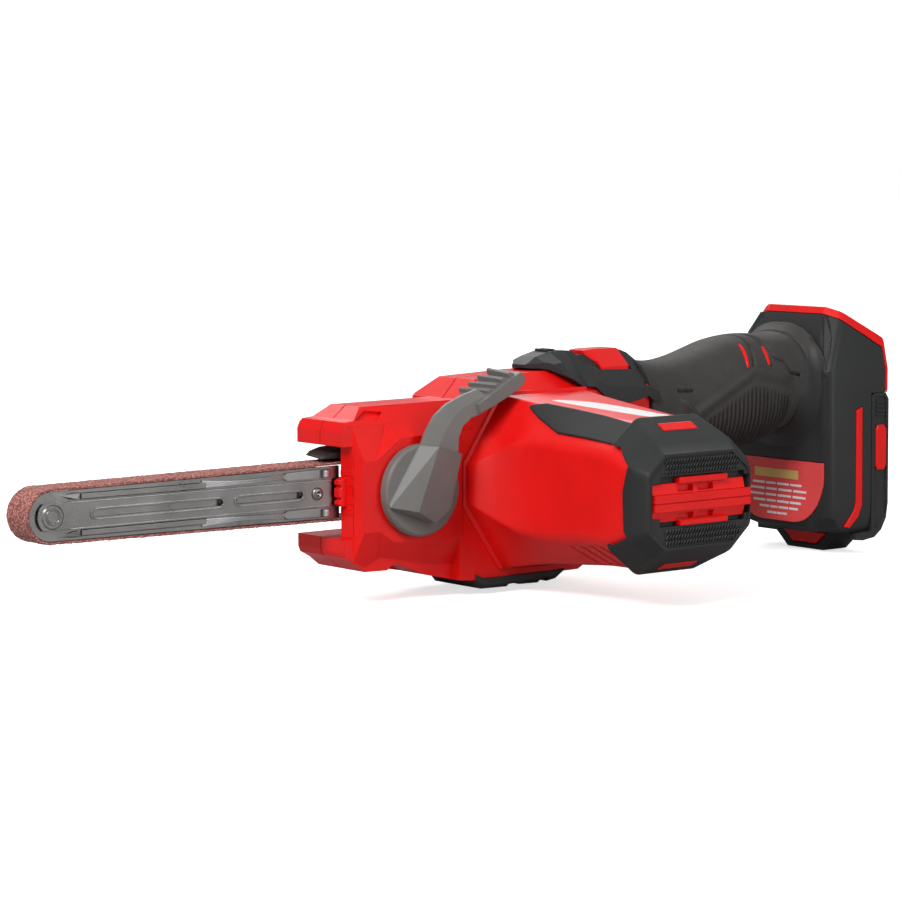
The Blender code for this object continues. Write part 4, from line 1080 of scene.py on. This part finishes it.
def make_arm():
    rear, front, flange_rear = -84.6, TIP_X + 12, -92.5
    tip = TIP_RADIUS + 0.1
    half = loop_inside(rear, 0.3)
    web = tongue(tip, tip, rear)[:-2] + [(rear, -half), (rear, half)]
    low, high = loop_inside(front, 0.4), loop_inside(flange_rear, 0.4)
    flange = [(front, low), (flange_rear, high), (flange_rear, high - 0.9), (front, low - 0.9)]
    flanges, ribs = [], []
    for side in (-1, 1):
        flanges.append(prism_y([(x, side * z) for x, z in flange], -5.6, 5.4))
        # pressed rib with ramps at both ends
        ribs.append(hull([(x, y, side * z) for x, y, z in (
            (-194.5, -6, 6.6), (-190.5, -6, 5.2), (-187.6, -6.8, 5), (-186.4, -6.8, 6.9),
            (-187.6, -6, 4.9), (-186.4, -6, 7.1), (-190, -6, 7.2))]))
        rib = ((-6, side * 4.8), (-6.75, side * 5), (-6.75, side * 6.7), (-6, side * 7))
        ribs.append(hull(at_x((-186, -138.6), rib)))
    arm_piece("arm_web", "stamped", prism_y(web, -6.1, -5.1), "arm_channel", joins=flanges + ribs,
              cuts=rivet_holes() + pills(ARM_SLOTS, 1.1, -9, -5.35), bevel=0.16, angle=20, sharp=25)

    rims = pills(((-183.2, -131.6), (-128, -99.4)), 1.9, -7.35, -6.9)
    ledge = turned([(-7.5, 1), (-7.5, 3.6), (-7.1, 4), (-6.9, 4), (-6.9, 1)], TIP)
    arm_piece("arm_plate", "stamped", prism_y(tongue(4.3, 5.4, -88.4), -7.1, -6.4), "arm_centre_plate",
              joins=rims + [ledge], cuts=pills(ARM_SLOTS, 1.1, -9, -5) + rivet_holes(), bevel=0.18, angle=30)
    # painted highlights: strips of lighter steel along the plate's long edges and rings round its slots,
    # where those edges catch the light
    edges = pills(ARM_SLOTS, 1.95, -7.5, -7.1)
    edges += [block((-190.5, -88.6), (-7.22, -6.9), z_range) for z_range in ((-4.42, -4), (4, 4.42))]
    arm_piece("arm_plate_edges", "bright", edges[0], joins=edges[1:],
              cuts=pills(ARM_SLOTS, 1.45, -9, -5), bevel=0.1)
    arm_piece("arm_plate_far", "stamped", prism_y(tongue(4.5, 5.6, -160), 5.7, 6.5), "arm_far_plate",
              cuts=[pin(-9, 9, 1.9, TIP)], bevel=0.2)
    axle = [(-7.6, 0), (-7.6, 1.9), (-7.45, 2), (-7.45, 2.15), (-7.65, 2.3), (-7.65, 2.6), (-7.5, 2.75),
            (-7.3, 2.6), (-7.3, 1.6), (6.8, 1.6), (6.8, 2.6), (7.4, 2.5), (7.4, 0)]
    arm_piece("tip_axle_rivet", "stamped", turned(axle, TIP), "tip_axle", sharp=35)
    rivet = [(-7.3, 0), (-7.4, 0.5), (-8, 0.8), (-8.2, 1.1), (-8.1, 1.6), (-7.8, 2), (-7.4, 2.2), (-7.2, 2.2),
             (-7.2, 1.2), (-0.6, 1.2), (-0.6, 2), (-0.1, 2), (-0.1, 0)]
    arm_piece("rear_rivet", "stamped", turned(rivet, REAR_RIVET), "arm_rear_rivet", sharp=35)
    make_leaves()


def make_leaves():
    """Bowed leaf spring, its foot and its cross pin, above and below the arm's plate."""
    foot = [(-109, -6.3, 6.4)]
    foot += [(x, y, z) for x, top in ((-106.4, 7.8), (-89.6, 8.2)) for y in (-7, -6.3) for z in (5, top)]
    clip = [(x, y, z) for x, rise in ((-92.6, 0), (-92, 0.2), (-90, 0.2), (-89.4, 0))
            for y, z in ((-7, 5.2), (-8.2 - rise, 5.4), (-8.2 - rise, 7.8), (-7, 8))]
    for side, tag in ((1, "upper"), (-1, "lower")):
        leaf = []
        for i in range(25):
            share = i / 24
            x = -140.2 + 32.8 * share
            bow = sin(pi * share)
            y = -6.25 - 0.75 * bow
            low, high = (5 + 0.5 * share, 7.6 - 0.9 * bow + 0.2 * share) if i else (6.6, 7.7)
            section = ((-0.25, low), (-0.25, high), (0.25, high), (0.25, low))
            leaf.append([(x, y + dy, side * z) for dy, z in section])
        arm_piece(f"leaf_spring_{tag}", "bright", loft(leaf), f"leaf_strip_{tag}", bevel=0.1, sharp=30)
        foot_hull, clip_hull = (hull([(x, y, side * z) for x, y, z in points]) for points in (foot, clip))
        arm_piece(f"leaf_foot_{tag}", "stamped", foot_hull, bevel=0.25)
        stem = turned([(-7.2, 0), (-7.2, 0.9), (4, 0.9), (4, 0)], (-90.7, side * 6.6))
        arm_piece(f"strut_clip_{tag}", "bright", clip_hull, f"strut_pin_{tag}", joins=[stem], bevel=0.2)


make_barrel()
make_cap()
make_lever()
make_grip()
make_foot()
make_cover()
make_head()
make_belt()
make_arm()


# ---- camera, light, floor
def make_camera():
    camera = bpy.data.cameras.new("camera")
    camera.lens = 128.313
    camera.sensor_width = 36
    camera.clip_start = 0.01
    made = show("camera", camera)
    right = Vector((0.788477, -0.615048, -0.004405))
    up = Vector((0.064199, 0.075174, 0.995102))
    back = -Vector((0.611704, 0.784898, -0.098758))
    turn = Matrix((right, up, back)).transposed().to_4x4()
    made.matrix_world = Matrix.Translation(Vector((-0.71578, -0.87691, 0.12054)) - ORIGIN) @ turn
    STUDIO.camera = made


def area_light(name, place, aim, size, power):
    light = bpy.data.lights.new(name, "AREA")
    light.shape = "RECTANGLE"
    light.size, light.size_y = size
    light.energy = power
    made = show(name, light)
    made.location = Vector(place) - ORIGIN
    made.rotation_euler = (Vector(aim) - Vector(place)).to_track_quat("-Z", "Y").to_euler()


def make_stage():
    s = Shader("pale floor")
    # pale to the camera, darker to the part, so that its undersides aren't washed out
    seen = s.add("ShaderNodeLightPath").outputs["Is Camera Ray"]
    look = s.finish(
        Base_Color=s.ramp(seen, [(0, [0.4] * 3), (1, [0.88] * 3)]), Roughness=0.8,
        Emission_Color=(1, 1, 1, 1), Emission_Strength=s.span(seen, 0, 0.68),
    )
    floor_mesh = bpy.data.meshes.new("floor")
    z = CAD_BOX[0][2] - 0.0002
    reach = 9
    corners = [(-reach, -reach, z), (reach, -reach, z), (reach, reach, z), (-reach, reach, z)]
    floor_mesh.from_pydata(corners, [], [(0, 1, 2, 3)])
    floor_mesh.materials.append(look)
    show("floor", floor_mesh)

    world = bpy.data.worlds.new("studio")
    STUDIO.world = world
    world.use_nodes = True
    tree = world.node_tree
    # the camera sees white; light and reflections see a studio that is dark low down and bright overhead
    place = grow_node(tree, "ShaderNodeTexCoord").outputs["Generated"]
    split = grow_node(tree, "ShaderNodeSeparateXYZ", {"Vector": place})
    height = grow_node(tree, "ShaderNodeMapRange", {
        "Value": split.outputs["Z"], "From Min": -0.1, "From Max": 0.9, "To Min": 0.04, "To Max": 0.5,
    })
    seen = grow_node(tree, "ShaderNodeLightPath").outputs["Is Camera Ray"]
    level = grow_node(tree, "ShaderNodeMix", {"Factor": seen, "A": height.outputs["Result"], "B": 1})
    feed(tree, tree.nodes["Background"], {"Color": (1, 1, 1, 1), "Strength": level.outputs["Result"]})
    area_light("key", (-1.2, -0.6, 1.2), (-0.05, 0, 0), (0.8, 0.5), 22)
    area_light("fill", (-1.4, -0.5, 0.1), (-0.05, 0, 0), (0.4, 0.8), 3.2)
    area_light("side", (0.5, -1.4, 0.3), (0.05, -0.05, 0), (0.5, 0.9), 6.5)
    area_light("rim", (0.5, 1.1, 0.9), (0, 0, 0), (1.2, 0.5), 8)
    STUDIO.view_settings.view_transform = "Standard"


polish_cad_nodes()
make_camera()
make_stage()
